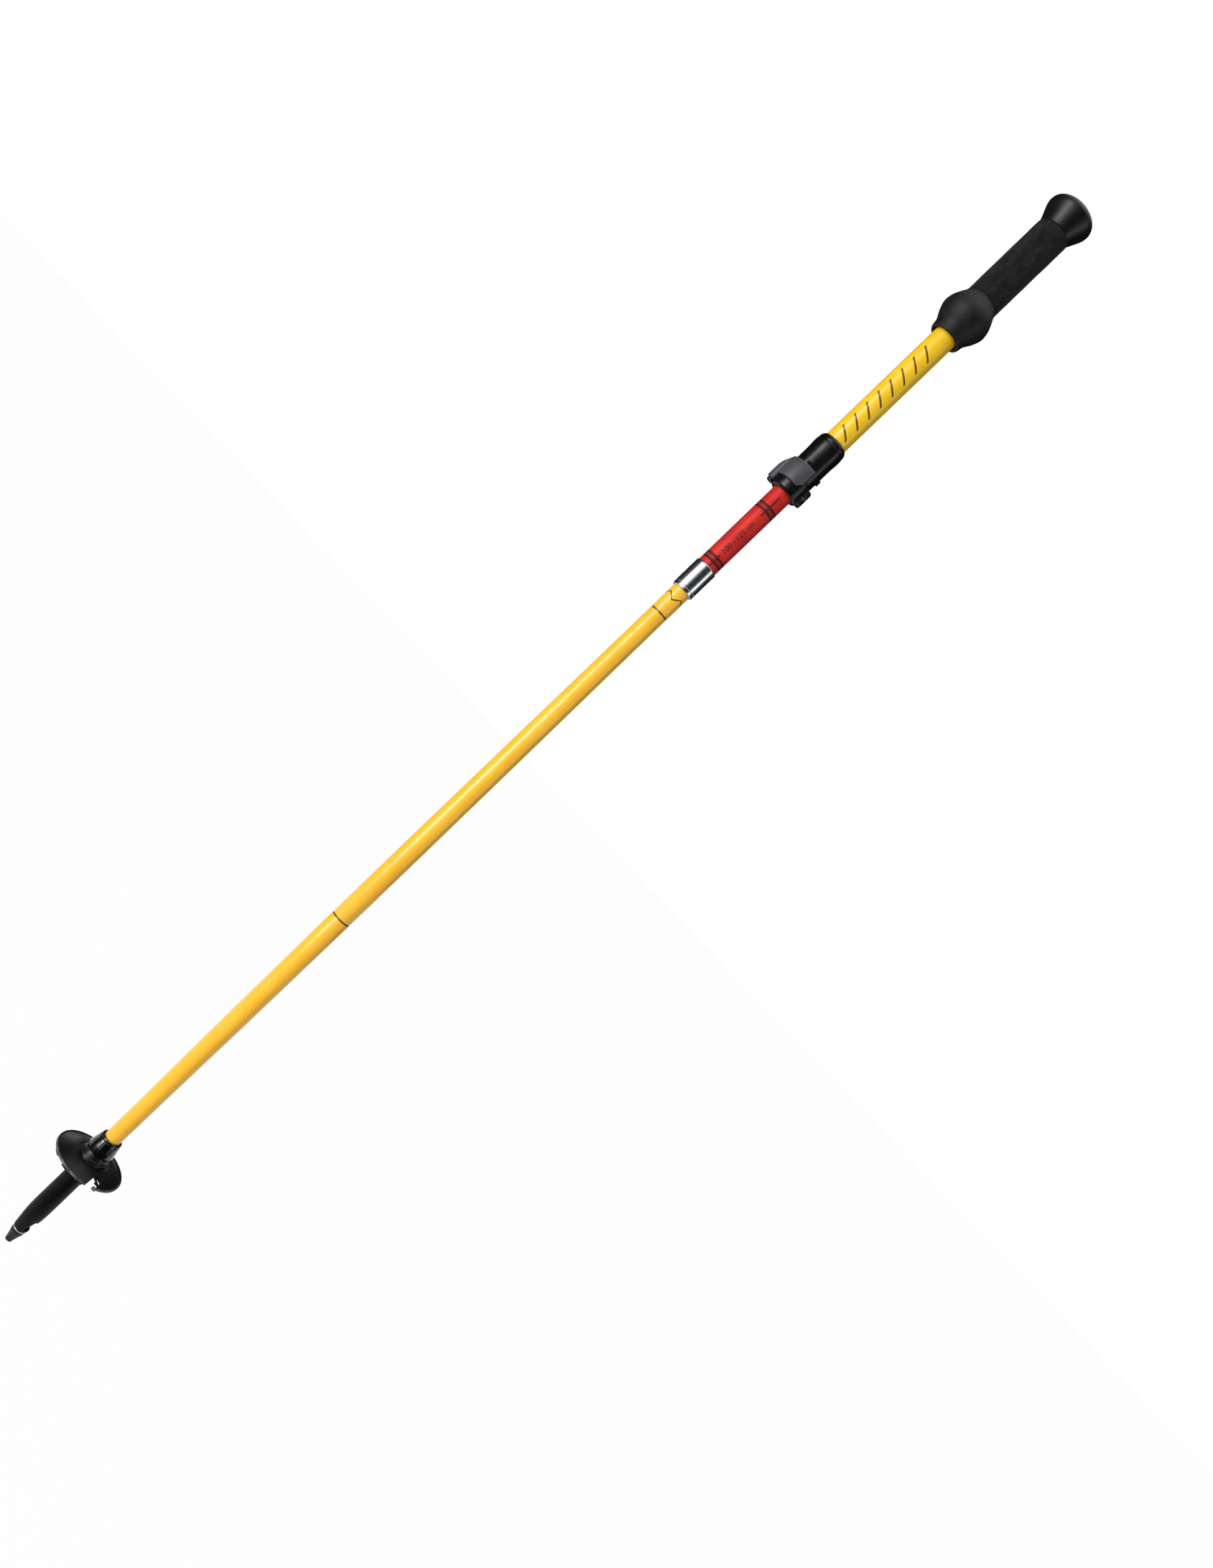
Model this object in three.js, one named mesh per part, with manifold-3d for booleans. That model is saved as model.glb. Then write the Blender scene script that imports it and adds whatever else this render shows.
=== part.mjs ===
// A folding, telescoping trekking pole, standing upright on its tip.
// Millimetres, +Z up along the pole. Heights are counted from the tip's end face, and the whole pole is
// then lowered so that the origin is where the hand holds the grip. The lever swings towards -Y.
import * as THREE from 'three';
import { mergeVertices } from 'three/addons/utils/BufferGeometryUtils.js';
import Module from 'manifold-3d';

const wasm = await Module();
wasm.setup();

// ---- driving dimensions ----
const GAP = 0.3;                    // left between any two separate pieces
const TUBE_WALL = 0.9;
const FACETS = 28;                  // round every turned piece

// tip and basket
const TIP_END_RADIUS = 2.6;
const TIP_INSERT_RADIUS = 1.9;
const TIP_INSERT_DEPTH = 7;
const TIP_CONE_LENGTH = 11.2;
const TIP_CONE_RADIUS = 5.0;
const TIP_RING_HEIGHT = 1.0;
const TIP_BODY_WALL = 1.3;
const TIP_BODY_LENGTH = 75;
const TIP_SHOULDER_LENGTH = 13;     // the body widens over this length
const TIP_FLOOR = 30;               // solid plastic below the tube's socket
const LOWER_SPIGOT_RADIUS = 5.9;    // the lower tube's foot, inside the tip body
const BASKET_RADIUS = 27.5;
const BASKET_RIM_DROP = 8.3;        // from the top of the tip body down to the basket's rim
const BASKET_THICKNESS = 1.7;
const BASKET_RISE = 4.2;            // the disc rises this much from rim to hub
const HUB_WALL = 2.4;
const HUB_TOP_WALL = 1.6;
const LUG_COUNT = 12;
const LUG_DROP = 3.6;               // the lugs hang this far below the rim
const LUG_THICKNESS = 1.8;
const LUG_WIDTH = 6;
const NOTCH_WIDTH = 6.8;
const NOTCH_MARGIN = 2.4;           // from the side of the hub's bore to the notch
const NOTCH_DEPTH = 15;             // from the rim in towards the hub
const COLLAR_FOOT_WALL = 3.9;
const COLLAR_TOP_WALL = 1.7;
const COLLAR_LENGTH = 12.2;

// folding shaft
const LOWER_STEP = 0.3;             // the lower tube is this much thicker above its spigot
const FOLD_RADIUS = 7.55;           // of both tubes at the lower fold
const LOWER_SHOWN = 220.45;         // yellow tube between the basket's collar and the lower fold
const LOWER_TAPER_LENGTH = 148.1;
const LOWER_STRAIGHT_FOOT = 10;     // above the collar, before the taper starts
const MIDDLE_TUBE_LENGTH = 306.2;
const MIDDLE_STRAIGHT_SHARE = 0.4;  // of the middle tube, before it starts to taper
const MIDDLE_TOP_RADIUS = 7.0;
const STUB_STEP = 0.1;              // the stub is this much thicker than the middle tube's top
const STUB_LENGTH = 22.0;           // the stretch of the stub that shows
const STUB_SOCKET = 6;              // and the stretch inside the sleeve
const FERRULE_GRIP = 28;            // length of a ferrule inside its own tube
const FERRULE_REACH = 40;           // length of a ferrule inside the next tube
const CORD_RADIUS = 1.25;
const CORD_BORE_RADIUS = 1.75;
const FLAT_WALL = 0.65;             // left between a ferrule's bore and its flat

// polished sleeve and its release button
const SLEEVE_STEP = 0.75;           // the sleeve stands proud of the red tube by this
const SLEEVE_MOUTH_WALL = 1.35;
const SLEEVE_LENGTH = 24;
const SLEEVE_SPIGOT = 14;           // the stretch inside the red tube
const BUTTON_RADIUS = 2.4;
const BUTTON_FLANGE_RADIUS = 2.8;
const BUTTON_FLANGE = 0.7;
const BUTTON_PROUD = 1.2;
const BUTTON_SPRING_THICKNESS = 0.3;
const BUTTON_SPRING_WIDTH = 3;
const BUTTON_SPRING_LENGTH = 12;
const BUTTON_SPRING_BEND = 0.9;

// adjusting section
const ADJUSTING_RADIUS = 8.0;
const ADJUSTING_LENGTH = 255;
const ADJUSTING_SHOWN = 73;         // red tube between the sleeve and the lever lock
const BUSH_HEIGHT = 8;
const BUSH_SPIGOT = 10;
const SPRING_RADIUS = 4.2;
const SPRING_WIRE_RADIUS = 0.6;
const SPRING_TURNS = 14;
const SPRING_LENGTH = 98;
const STOP_HEIGHT = 9;
const STOP_RADIUS = 5;
const ANCHOR_HEIGHT = 10;

// lever lock
const NECK_WALL = 1.6;
const NECK_LENGTH = 14.3;
const LOCK_WALL = 2.1;
const LOCK_WAIST_STEP = 0.35;
const LOCK_LENGTH = 36;
const LOCK_SEAT = 4;                // from the neck up to the end of the upper tube
const COLLAR_WALL = 2.0;
const COLLAR_FLOOR = 1.6;
const EAR_STEP = 2.5;
const EAR_HALF_WIDTH = 5.2;
const CLAMP_SLIT = 1.6;
const CLAMP_SCREW_RADIUS = 1.3;
const CLAMP_HEAD_RADIUS = 2.2;
const CLAMP_HEAD_HEIGHT = 1.3;
const CAM_RADIUS = 3.2;
const CAM_INSET = 0.2;              // the cam reaches this far into the neck's wall
const PIN_RADIUS = 1.2;
const LEVER_SKIN = 1.0;
const LEVER_ARM_THICKNESS = 2.2;
const LEVER_ARM_DROP = 7.2;         // the arm hangs this far below the top of the collar
const LEVER_ARM_HEIGHT = 16.2;
const LEVER_CHAMFER = 9;
const LEVER_CORNER = 4.5;           // cut off the lower corner of the arm's free end
const LEVER_END = 6;                // the arm's free end along X
const LUG_RADIUS = 2.9;
const LUG_HEIGHT = 4;
const SHOE_HALF_WIDTH = 4.2;

// upper tube and grip
const UPPER_CLEARANCE = 0.35;       // between the red tube and the upper tube
const UPPER_WALL = 0.65;
const UPPER_SHOWN = 103.5;          // yellow tube between lock and grip
const GUARD_LENGTH = 37.5;
const GUARD_SWELL = 5.3;            // the guard's bulb stands this far out from the foam
const LIP_WALL = 3.7;
const FOAM_WALL = 4.0;
const FOAM_LENGTH = 69;
const CAP_LENGTH = 24;
const CAP_FLARE = 5.3;              // the cap's rim stands this far out from the foam
const CAP_FLARE_HEIGHT = 16;
const CAP_SOCKET = 11;
const PLUG_LENGTH = 8;

// ---- heights that follow from them ----
const tipRingFoot = TIP_CONE_LENGTH + GAP;
const tipBodyFoot = tipRingFoot + TIP_RING_HEIGHT + GAP;
const tipBodyTop = tipBodyFoot + TIP_BODY_LENGTH;
const basketRim = tipBodyTop - BASKET_RIM_DROP;
const hubTop = tipBodyTop + 1.4;
const collarFoot = hubTop + 0.5;
const collarTop = collarFoot + COLLAR_LENGTH;
const lowerSocketFoot = tipBodyFoot + TIP_FLOOR;
const lowerTaperFoot = collarTop + LOWER_STRAIGHT_FOOT;
const lowerTaperEnd = lowerTaperFoot + LOWER_TAPER_LENGTH - LOWER_STRAIGHT_FOOT;
const lowerTop = collarTop + LOWER_SHOWN;
const middleFoot = lowerTop + GAP;
const middleTop = middleFoot + MIDDLE_TUBE_LENGTH;
const stubFoot = middleTop + GAP;
const sleeveFoot = stubFoot + STUB_LENGTH;
const sleeveTop = sleeveFoot + SLEEVE_LENGTH;
const adjustingFoot = sleeveTop + GAP;
const adjustingTop = adjustingFoot + ADJUSTING_LENGTH;
const lockFoot = adjustingFoot + ADJUSTING_SHOWN;
const neckTop = lockFoot + NECK_LENGTH;
const lockTop = neckTop + LOCK_LENGTH;
const upperFoot = neckTop + LOCK_SEAT;
const guardFoot = lockTop + UPPER_SHOWN;
const foamFoot = guardFoot + GUARD_LENGTH + GAP;
const capFoot = foamFoot + FOAM_LENGTH + GAP;
const capTop = capFoot + CAP_LENGTH;
const upperTop = capFoot + CAP_SOCKET - GAP;
const handHeight = foamFoot + FOAM_LENGTH / 2;
const buttonHeight = (sleeveFoot + sleeveTop) / 2 + 1;

// ---- radii that follow from them ----
const tipBodyRadius = LOWER_SPIGOT_RADIUS + GAP + TIP_BODY_WALL;
const hubBore = tipBodyRadius + GAP;
const hubRadius = hubBore + HUB_WALL;
const lowerFootRadius = LOWER_SPIGOT_RADIUS + LOWER_STEP;
const lowerBore = LOWER_SPIGOT_RADIUS - TUBE_WALL;
const foldBore = FOLD_RADIUS - TUBE_WALL;
const stubRadius = MIDDLE_TOP_RADIUS + STUB_STEP;
const stubBore = stubRadius - TUBE_WALL;
const lowerFerruleRadius = foldBore - GAP;
const upperFerruleRadius = MIDDLE_TOP_RADIUS - TUBE_WALL - GAP;
const ferruleFlat = CORD_BORE_RADIUS + FLAT_WALL;
const sleeveBore = upperFerruleRadius + GAP + 0.1;
const stubSocketRadius = stubRadius + GAP;
const sleeveRadius = Math.max(ADJUSTING_RADIUS + SLEEVE_STEP, stubSocketRadius + SLEEVE_MOUTH_WALL);
const adjustingBore = ADJUSTING_RADIUS - TUBE_WALL;
const spigotRadius = adjustingBore - GAP;
const upperBore = ADJUSTING_RADIUS + UPPER_CLEARANCE;
const upperRadius = upperBore + UPPER_WALL;
const lockBore = ADJUSTING_RADIUS + GAP;
const neckRadius = lockBore + NECK_WALL;
const tubeSocket = upperRadius + GAP;
const lockRadius = tubeSocket + LOCK_WALL;
const lockWaistRadius = lockRadius + LOCK_WAIST_STEP;
const lockCollarBore = neckRadius + GAP;
const lockCollarRadius = lockCollarBore + COLLAR_WALL;
const earReach = lockCollarRadius + EAR_STEP;
const clampScrewLine = earReach - 2.3;
const pinLine = neckRadius - CAM_INSET + CAM_RADIUS;
const armBore = lockCollarRadius + GAP;
const armRadius = armBore + LEVER_ARM_THICKNESS;
const gripBore = upperRadius + GAP;
const foamRadius = gripBore + FOAM_WALL;
const lipRadius = gripBore + LIP_WALL;
const guardRadius = foamRadius + GUARD_SWELL;
const capRadius = foamRadius + CAP_FLARE;
const capNeckRadius = foamRadius - 0.1;

// ---- solids ----
function toManifold(geometry) {
  geometry.deleteAttribute('normal');
  geometry.deleteAttribute('uv');
  const merged = mergeVertices(geometry, 1e-4);
  const vertProperties = new Float32Array(merged.attributes.position.array);
  const triVerts = new Uint32Array(merged.index.array);
  return new wasm.Manifold(new wasm.Mesh({ numProp: 3, vertProperties, triVerts }));
}

function toGeometry(solid) {
  const mesh = solid.getMesh();
  const geometry = new THREE.BufferGeometry();
  geometry.setAttribute('position', new THREE.BufferAttribute(mesh.vertProperties, mesh.numProp));
  geometry.setIndex(new THREE.BufferAttribute(mesh.triVerts, 1));
  return geometry;
}

// A turned solid about the pole's axis, from [radius, height] points that close on themselves.
function turned(points, facets = FACETS) {
  const outline = points.map(([radius, height]) => new THREE.Vector2(radius, height));
  const area = THREE.ShapeUtils.area(outline);
  const ordered = area > 0 ? outline : outline.slice().reverse();
  const closed = ordered[0].x === 0 ? ordered : [...ordered, ordered[0].clone()];
  const geometry = new THREE.LatheGeometry(closed, facets);
  geometry.rotateX(Math.PI / 2);
  return toManifold(geometry);
}

function ring(outer, inner, foot, top, facets = FACETS) {
  return turned([[inner, foot], [outer, foot], [outer, top], [inner, top]], facets);
}

function disc(radius, foot, top, facets = FACETS) {
  return turned([[0, foot], [radius, foot], [radius, top], [0, top]], facets);
}

function block(x0, x1, y0, y1, z0, z1) {
  const geometry = new THREE.BoxGeometry(x1 - x0, y1 - y0, z1 - z0);
  geometry.translate((x0 + x1) / 2, (y0 + y1) / 2, (z0 + z1) / 2);
  return toManifold(geometry);
}

// An upright round post beside the pole's axis.
function post(radius, x, y, foot, top, facets = 20) {
  const geometry = new THREE.CylinderGeometry(radius, radius, top - foot, facets);
  geometry.rotateX(Math.PI / 2);
  geometry.translate(x, y, (foot + top) / 2);
  return toManifold(geometry);
}

// A round bar along Y.
function crossBar(radius, x, y0, y1, z, facets = 16) {
  const geometry = new THREE.CylinderGeometry(radius, radius, y1 - y0, facets);
  geometry.translate(x, (y0 + y1) / 2, z);
  return toManifold(geometry);
}

// Points on an arc of an outline, from one angle to another in degrees.
function arc(centreRadius, centreHeight, radius, from, to, steps) {
  const points = [];
  for (let i = 0; i <= steps; i += 1) {
    const angle = THREE.MathUtils.degToRad(from + (to - from) * i / steps);
    points.push([centreRadius + radius * Math.cos(angle), centreHeight + radius * Math.sin(angle)]);
  }
  return points;
}

// ---- materials ----
function finish(color, roughness, metalness) {
  return new THREE.MeshStandardMaterial({ color, roughness, metalness });
}

const FINISHES = {
  yellowPaint: () => finish(0xfbc034, 0.35, 0.2),
  redAnodised: () => finish(0xc83030, 0.35, 0.4),
  blackPlastic: () => finish(0x1d1d1e, 0.5, 0),
  greyPlastic: () => finish(0x48474c, 0.5, 0),
  foam: () => finish(0x222223, 0.95, 0),
  rubber: () => finish(0x242325, 0.8, 0),
  chrome: () => finish(0xd8dbe2, 0.12, 1),
  steel: () => finish(0x9a9ca0, 0.3, 1),
  darkSteel: () => finish(0x3a3a3d, 0.35, 1),
  aluminium: () => finish(0xb8bbc0, 0.4, 0.9),
  whiteNylon: () => finish(0xd9d7cf, 0.6, 0),
  cordFabric: () => finish(0x2b2b2d, 0.9, 0),
};

const pole = new THREE.Group();
pole.position.z = -handHeight;

function add(name, solid, finishName) {
  const mesh = new THREE.Mesh(toGeometry(solid), FINISHES[finishName]());
  mesh.name = name;
  pole.add(mesh);
}

// ---- tip ----
function makeTip() {
  add('carbide_tip', disc(TIP_INSERT_RADIUS, 0, TIP_INSERT_DEPTH, 16), 'darkSteel');

  const socket = TIP_INSERT_RADIUS + GAP;
  add('tip_cone', turned([
    [socket, 0.6],
    [TIP_END_RADIUS, 0.6],
    [TIP_CONE_RADIUS, TIP_CONE_LENGTH],
    [0, TIP_CONE_LENGTH],
    [0, TIP_INSERT_DEPTH + GAP],
    [socket, TIP_INSERT_DEPTH + GAP],
  ].reverse()), 'greyPlastic');

  add('tip_ring', disc(TIP_CONE_RADIUS + 0.2, tipRingFoot, tipRingFoot + TIP_RING_HEIGHT), 'steel');

  const bore = LOWER_SPIGOT_RADIUS + GAP;
  const body = turned([
    [0, tipBodyFoot],
    [TIP_CONE_RADIUS + 0.5, tipBodyFoot],
    [tipBodyRadius - 0.3, tipBodyFoot + TIP_SHOULDER_LENGTH],
    [tipBodyRadius, tipBodyFoot + TIP_SHOULDER_LENGTH + 8],
    [tipBodyRadius, tipBodyTop],
    [bore, tipBodyTop],
    [bore, lowerSocketFoot],
    [0, lowerSocketFoot],
  ]);
  // a slanted flat on the shoulder, above a short ridge, takes a spanner
  const slant = new THREE.BoxGeometry(6, 20, TIP_SHOULDER_LENGTH - 2);
  slant.rotateY(THREE.MathUtils.degToRad(14));
  slant.translate(TIP_CONE_RADIUS + 2.6, 0, tipBodyFoot + TIP_SHOULDER_LENGTH / 2 + 0.6);
  add('tip_body', body.subtract(toManifold(slant)), 'blackPlastic');
}

// ---- basket and the collar above it ----
function makeBasket() {
  const rim = basketRim;
  const hubFoot = rim + BASKET_RISE - 2.5;
  let dish = turned([
    [hubBore, hubFoot - 3],
    [hubRadius - 1, hubFoot - 3],
    [hubRadius + 2, rim + BASKET_RISE - BASKET_THICKNESS - 0.4],
    [(BASKET_RADIUS + hubRadius) / 2, rim + BASKET_RISE * 0.55 - BASKET_THICKNESS],
    [BASKET_RADIUS - 0.5, rim - BASKET_THICKNESS],
    [BASKET_RADIUS, rim - BASKET_THICKNESS * 0.6],
    [BASKET_RADIUS, rim - 0.3],
    [BASKET_RADIUS - 0.6, rim],
    [(BASKET_RADIUS + hubRadius) / 2, rim + BASKET_RISE * 0.6],
    [hubRadius + 2, rim + BASKET_RISE],
    [hubRadius, rim + BASKET_RISE + 1.2],
    [hubBore + HUB_TOP_WALL, hubTop],
    [hubBore, hubTop],
  ], 40);
  for (let i = 0; i < LUG_COUNT; i += 1) {
    const lug = new THREE.BoxGeometry(LUG_THICKNESS, LUG_WIDTH, LUG_DROP);
    lug.translate(BASKET_RADIUS - LUG_THICKNESS / 2 - 0.6, 0, rim - BASKET_THICKNESS - LUG_DROP / 2 + 0.8);
    lug.rotateZ((i + 0.5) * 2 * Math.PI / LUG_COUNT);
    dish = dish.add(toManifold(lug));
  }
  const notchSide = hubBore + NOTCH_MARGIN;
  const notch = block(
    notchSide, notchSide + NOTCH_WIDTH, -BASKET_RADIUS - 1, NOTCH_DEPTH - BASKET_RADIUS, rim - 10, rim + 10,
  );
  add('basket', dish.subtract(notch), 'blackPlastic');

  const collarBore = lowerFootRadius + GAP;
  const collarFootRadius = collarBore + COLLAR_FOOT_WALL;
  const collarTopRadius = collarBore + COLLAR_TOP_WALL;
  add('basket_collar', turned([
    [collarBore, collarFoot],
    [collarFootRadius - 0.4, collarFoot],
    [collarFootRadius, collarFoot + 1],
    [collarFootRadius - 0.9, collarFoot + COLLAR_LENGTH * 0.45],
    [collarTopRadius, collarTop - 0.8],
    [collarTopRadius - 0.6, collarTop],
    [collarBore, collarTop],
  ]), 'blackPlastic');
}

// ---- the two folding tubes, their ferrules and the cord inside ----
function makeFoldingShaft() {
  const spigotTop = collarFoot - GAP;
  add('lower_tube', turned([
    [lowerBore, lowerSocketFoot + GAP],
    [LOWER_SPIGOT_RADIUS, lowerSocketFoot + GAP],
    [LOWER_SPIGOT_RADIUS, spigotTop],
    [lowerFootRadius, spigotTop],
    [lowerFootRadius, lowerTaperFoot],
    [FOLD_RADIUS, lowerTaperEnd],
    [FOLD_RADIUS, lowerTop],
    [foldBore, lowerTop],
    [foldBore, lowerTaperEnd],
    [lowerBore, lowerTaperFoot],
  ]), 'yellowPaint');

  const middleKnee = middleFoot + MIDDLE_TUBE_LENGTH * MIDDLE_STRAIGHT_SHARE;
  add('middle_tube', turned([
    [foldBore, middleFoot],
    [FOLD_RADIUS, middleFoot],
    [FOLD_RADIUS, middleKnee],
    [MIDDLE_TOP_RADIUS, middleTop],
    [MIDDLE_TOP_RADIUS - TUBE_WALL, middleTop],
    [foldBore, middleKnee],
  ]), 'yellowPaint');

  const lowerFerrule = ring(
    lowerFerruleRadius, CORD_BORE_RADIUS, lowerTop - FERRULE_GRIP, lowerTop + FERRULE_REACH,
  );
  add('lower_ferrule', lowerFerrule, 'aluminium');

  // the upper ferrule is flatted on one side, so that the release button can travel beside it
  const flatFoot = buttonHeight - BUTTON_SPRING_LENGTH / 2 - 1;
  const ferruleTop = middleTop + FERRULE_REACH;
  const upperFerrule = ring(upperFerruleRadius, CORD_BORE_RADIUS, middleTop - FERRULE_GRIP, ferruleTop);
  const flat = block(-10, 10, ferruleFlat, 10, flatFoot, ferruleTop + 1);
  add('middle_ferrule', upperFerrule.subtract(flat), 'aluminium');
}

function makeCord() {
  const anchorFoot = lowerSocketFoot + 2;
  const anchorTop = anchorFoot + ANCHOR_HEIGHT;
  const anchorBody = disc(lowerBore - GAP, anchorFoot, anchorTop);
  const anchorSocket = disc(CORD_RADIUS + GAP, anchorFoot + 3, anchorTop + 1, 12);
  add('cord_anchor', anchorBody.subtract(anchorSocket), 'whiteNylon');

  const springFoot = sleeveTop + SLEEVE_SPIGOT + GAP;
  const springTop = springFoot + SPRING_LENGTH;
  const stopFoot = springTop + GAP;
  const stopBody = disc(STOP_RADIUS, stopFoot, stopFoot + STOP_HEIGHT);
  const stopSocket = disc(CORD_RADIUS + GAP, stopFoot - 1, stopFoot + STOP_HEIGHT - 3, 12);
  add('cord_stop', stopBody.subtract(stopSocket), 'whiteNylon');

  const cordFoot = anchorFoot + 3 + GAP;
  const cordTop = stopFoot + STOP_HEIGHT - 3 - GAP;
  add('tension_cord', disc(CORD_RADIUS, cordFoot, cordTop, 12), 'cordFabric');

  class Coil extends THREE.Curve {
    getPoint(t) {
      const angle = t * SPRING_TURNS * 2 * Math.PI;
      const low = springFoot + SPRING_WIRE_RADIUS;
      const high = springTop - SPRING_WIRE_RADIUS;
      return new THREE.Vector3(
        SPRING_RADIUS * Math.cos(angle), SPRING_RADIUS * Math.sin(angle), low + (high - low) * t,
      );
    }
  }
  const wire = new THREE.Shape();
  wire.absarc(0, 0, SPRING_WIRE_RADIUS * 0.95, 0, 2 * Math.PI);
  const coil = new THREE.ExtrudeGeometry(wire, {
    curveSegments: 3, steps: SPRING_TURNS * 10, bevelEnabled: false, extrudePath: new Coil(),
  });
  add('tension_spring', toManifold(coil), 'steel');
}

// ---- sleeve, stub and button of the upper fold joint ----
function makeUpperJoint() {
  const stubTop = sleeveFoot + STUB_SOCKET - GAP;
  add('joint_stub', ring(stubRadius, stubBore, stubFoot, stubTop), 'yellowPaint');

  const socket = stubSocketRadius;
  const spigotTop = sleeveTop + SLEEVE_SPIGOT;
  const sleeve = turned([
    [socket, sleeveFoot],
    [sleeveRadius - 0.3, sleeveFoot],
    [sleeveRadius, sleeveFoot + 0.4],
    [sleeveRadius, sleeveTop - 0.4],
    [sleeveRadius - 0.3, sleeveTop],
    [spigotRadius, sleeveTop],
    [spigotRadius, spigotTop],
    [CORD_BORE_RADIUS + 0.8, spigotTop],
    [CORD_BORE_RADIUS + 0.8, sleeveTop],
    [sleeveBore, sleeveTop],
    [sleeveBore, sleeveFoot + STUB_SOCKET],
    [socket, sleeveFoot + STUB_SOCKET],
  ]);
  add('joint_sleeve', sleeve.subtract(crossBar(BUTTON_RADIUS + GAP, 0, 2, 12, buttonHeight)), 'chrome');

  const flangeTop = Math.sqrt(sleeveBore ** 2 - BUTTON_FLANGE_RADIUS ** 2) - GAP;
  const flangeFoot = flangeTop - BUTTON_FLANGE;
  const head = crossBar(BUTTON_RADIUS, 0, flangeFoot, sleeveRadius + BUTTON_PROUD, buttonHeight);
  const flange = crossBar(BUTTON_FLANGE_RADIUS, 0, flangeFoot, flangeTop, buttonHeight);
  add('release_button', head.add(flange), 'blackPlastic');

  // a leaf spring behind the button, its two ends bent towards the sleeve
  const face = flangeFoot - GAP;
  const back = face - BUTTON_SPRING_THICKNESS;
  const half = BUTTON_SPRING_LENGTH / 2;
  const leaf = new THREE.Shape([
    new THREE.Vector2(-half, back + BUTTON_SPRING_BEND),
    new THREE.Vector2(-half + 2, back),
    new THREE.Vector2(half - 2, back),
    new THREE.Vector2(half, back + BUTTON_SPRING_BEND),
    new THREE.Vector2(half, face + BUTTON_SPRING_BEND),
    new THREE.Vector2(half - 2, face),
    new THREE.Vector2(-half + 2, face),
    new THREE.Vector2(-half, face + BUTTON_SPRING_BEND),
  ]);
  const leafGeometry = new THREE.ExtrudeGeometry(leaf, { depth: BUTTON_SPRING_WIDTH, bevelEnabled: false });
  leafGeometry.translate(0, 0, -BUTTON_SPRING_WIDTH / 2);
  leafGeometry.rotateY(-Math.PI / 2);
  leafGeometry.translate(0, 0, buttonHeight);
  add('button_spring', toManifold(leafGeometry), 'steel');
}

// ---- adjusting section ----
function makeAdjustingSection() {
  add('adjusting_tube', ring(ADJUSTING_RADIUS, adjustingBore, adjustingFoot, adjustingTop), 'redAnodised');
  add('guide_bush', turned([
    [STOP_RADIUS - 1, adjustingTop - BUSH_SPIGOT],
    [spigotRadius, adjustingTop - BUSH_SPIGOT],
    [spigotRadius, adjustingTop + GAP],
    [ADJUSTING_RADIUS, adjustingTop + GAP],
    [ADJUSTING_RADIUS, adjustingTop + BUSH_HEIGHT],
    [STOP_RADIUS - 1, adjustingTop + BUSH_HEIGHT],
  ]), 'whiteNylon');
}

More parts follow.
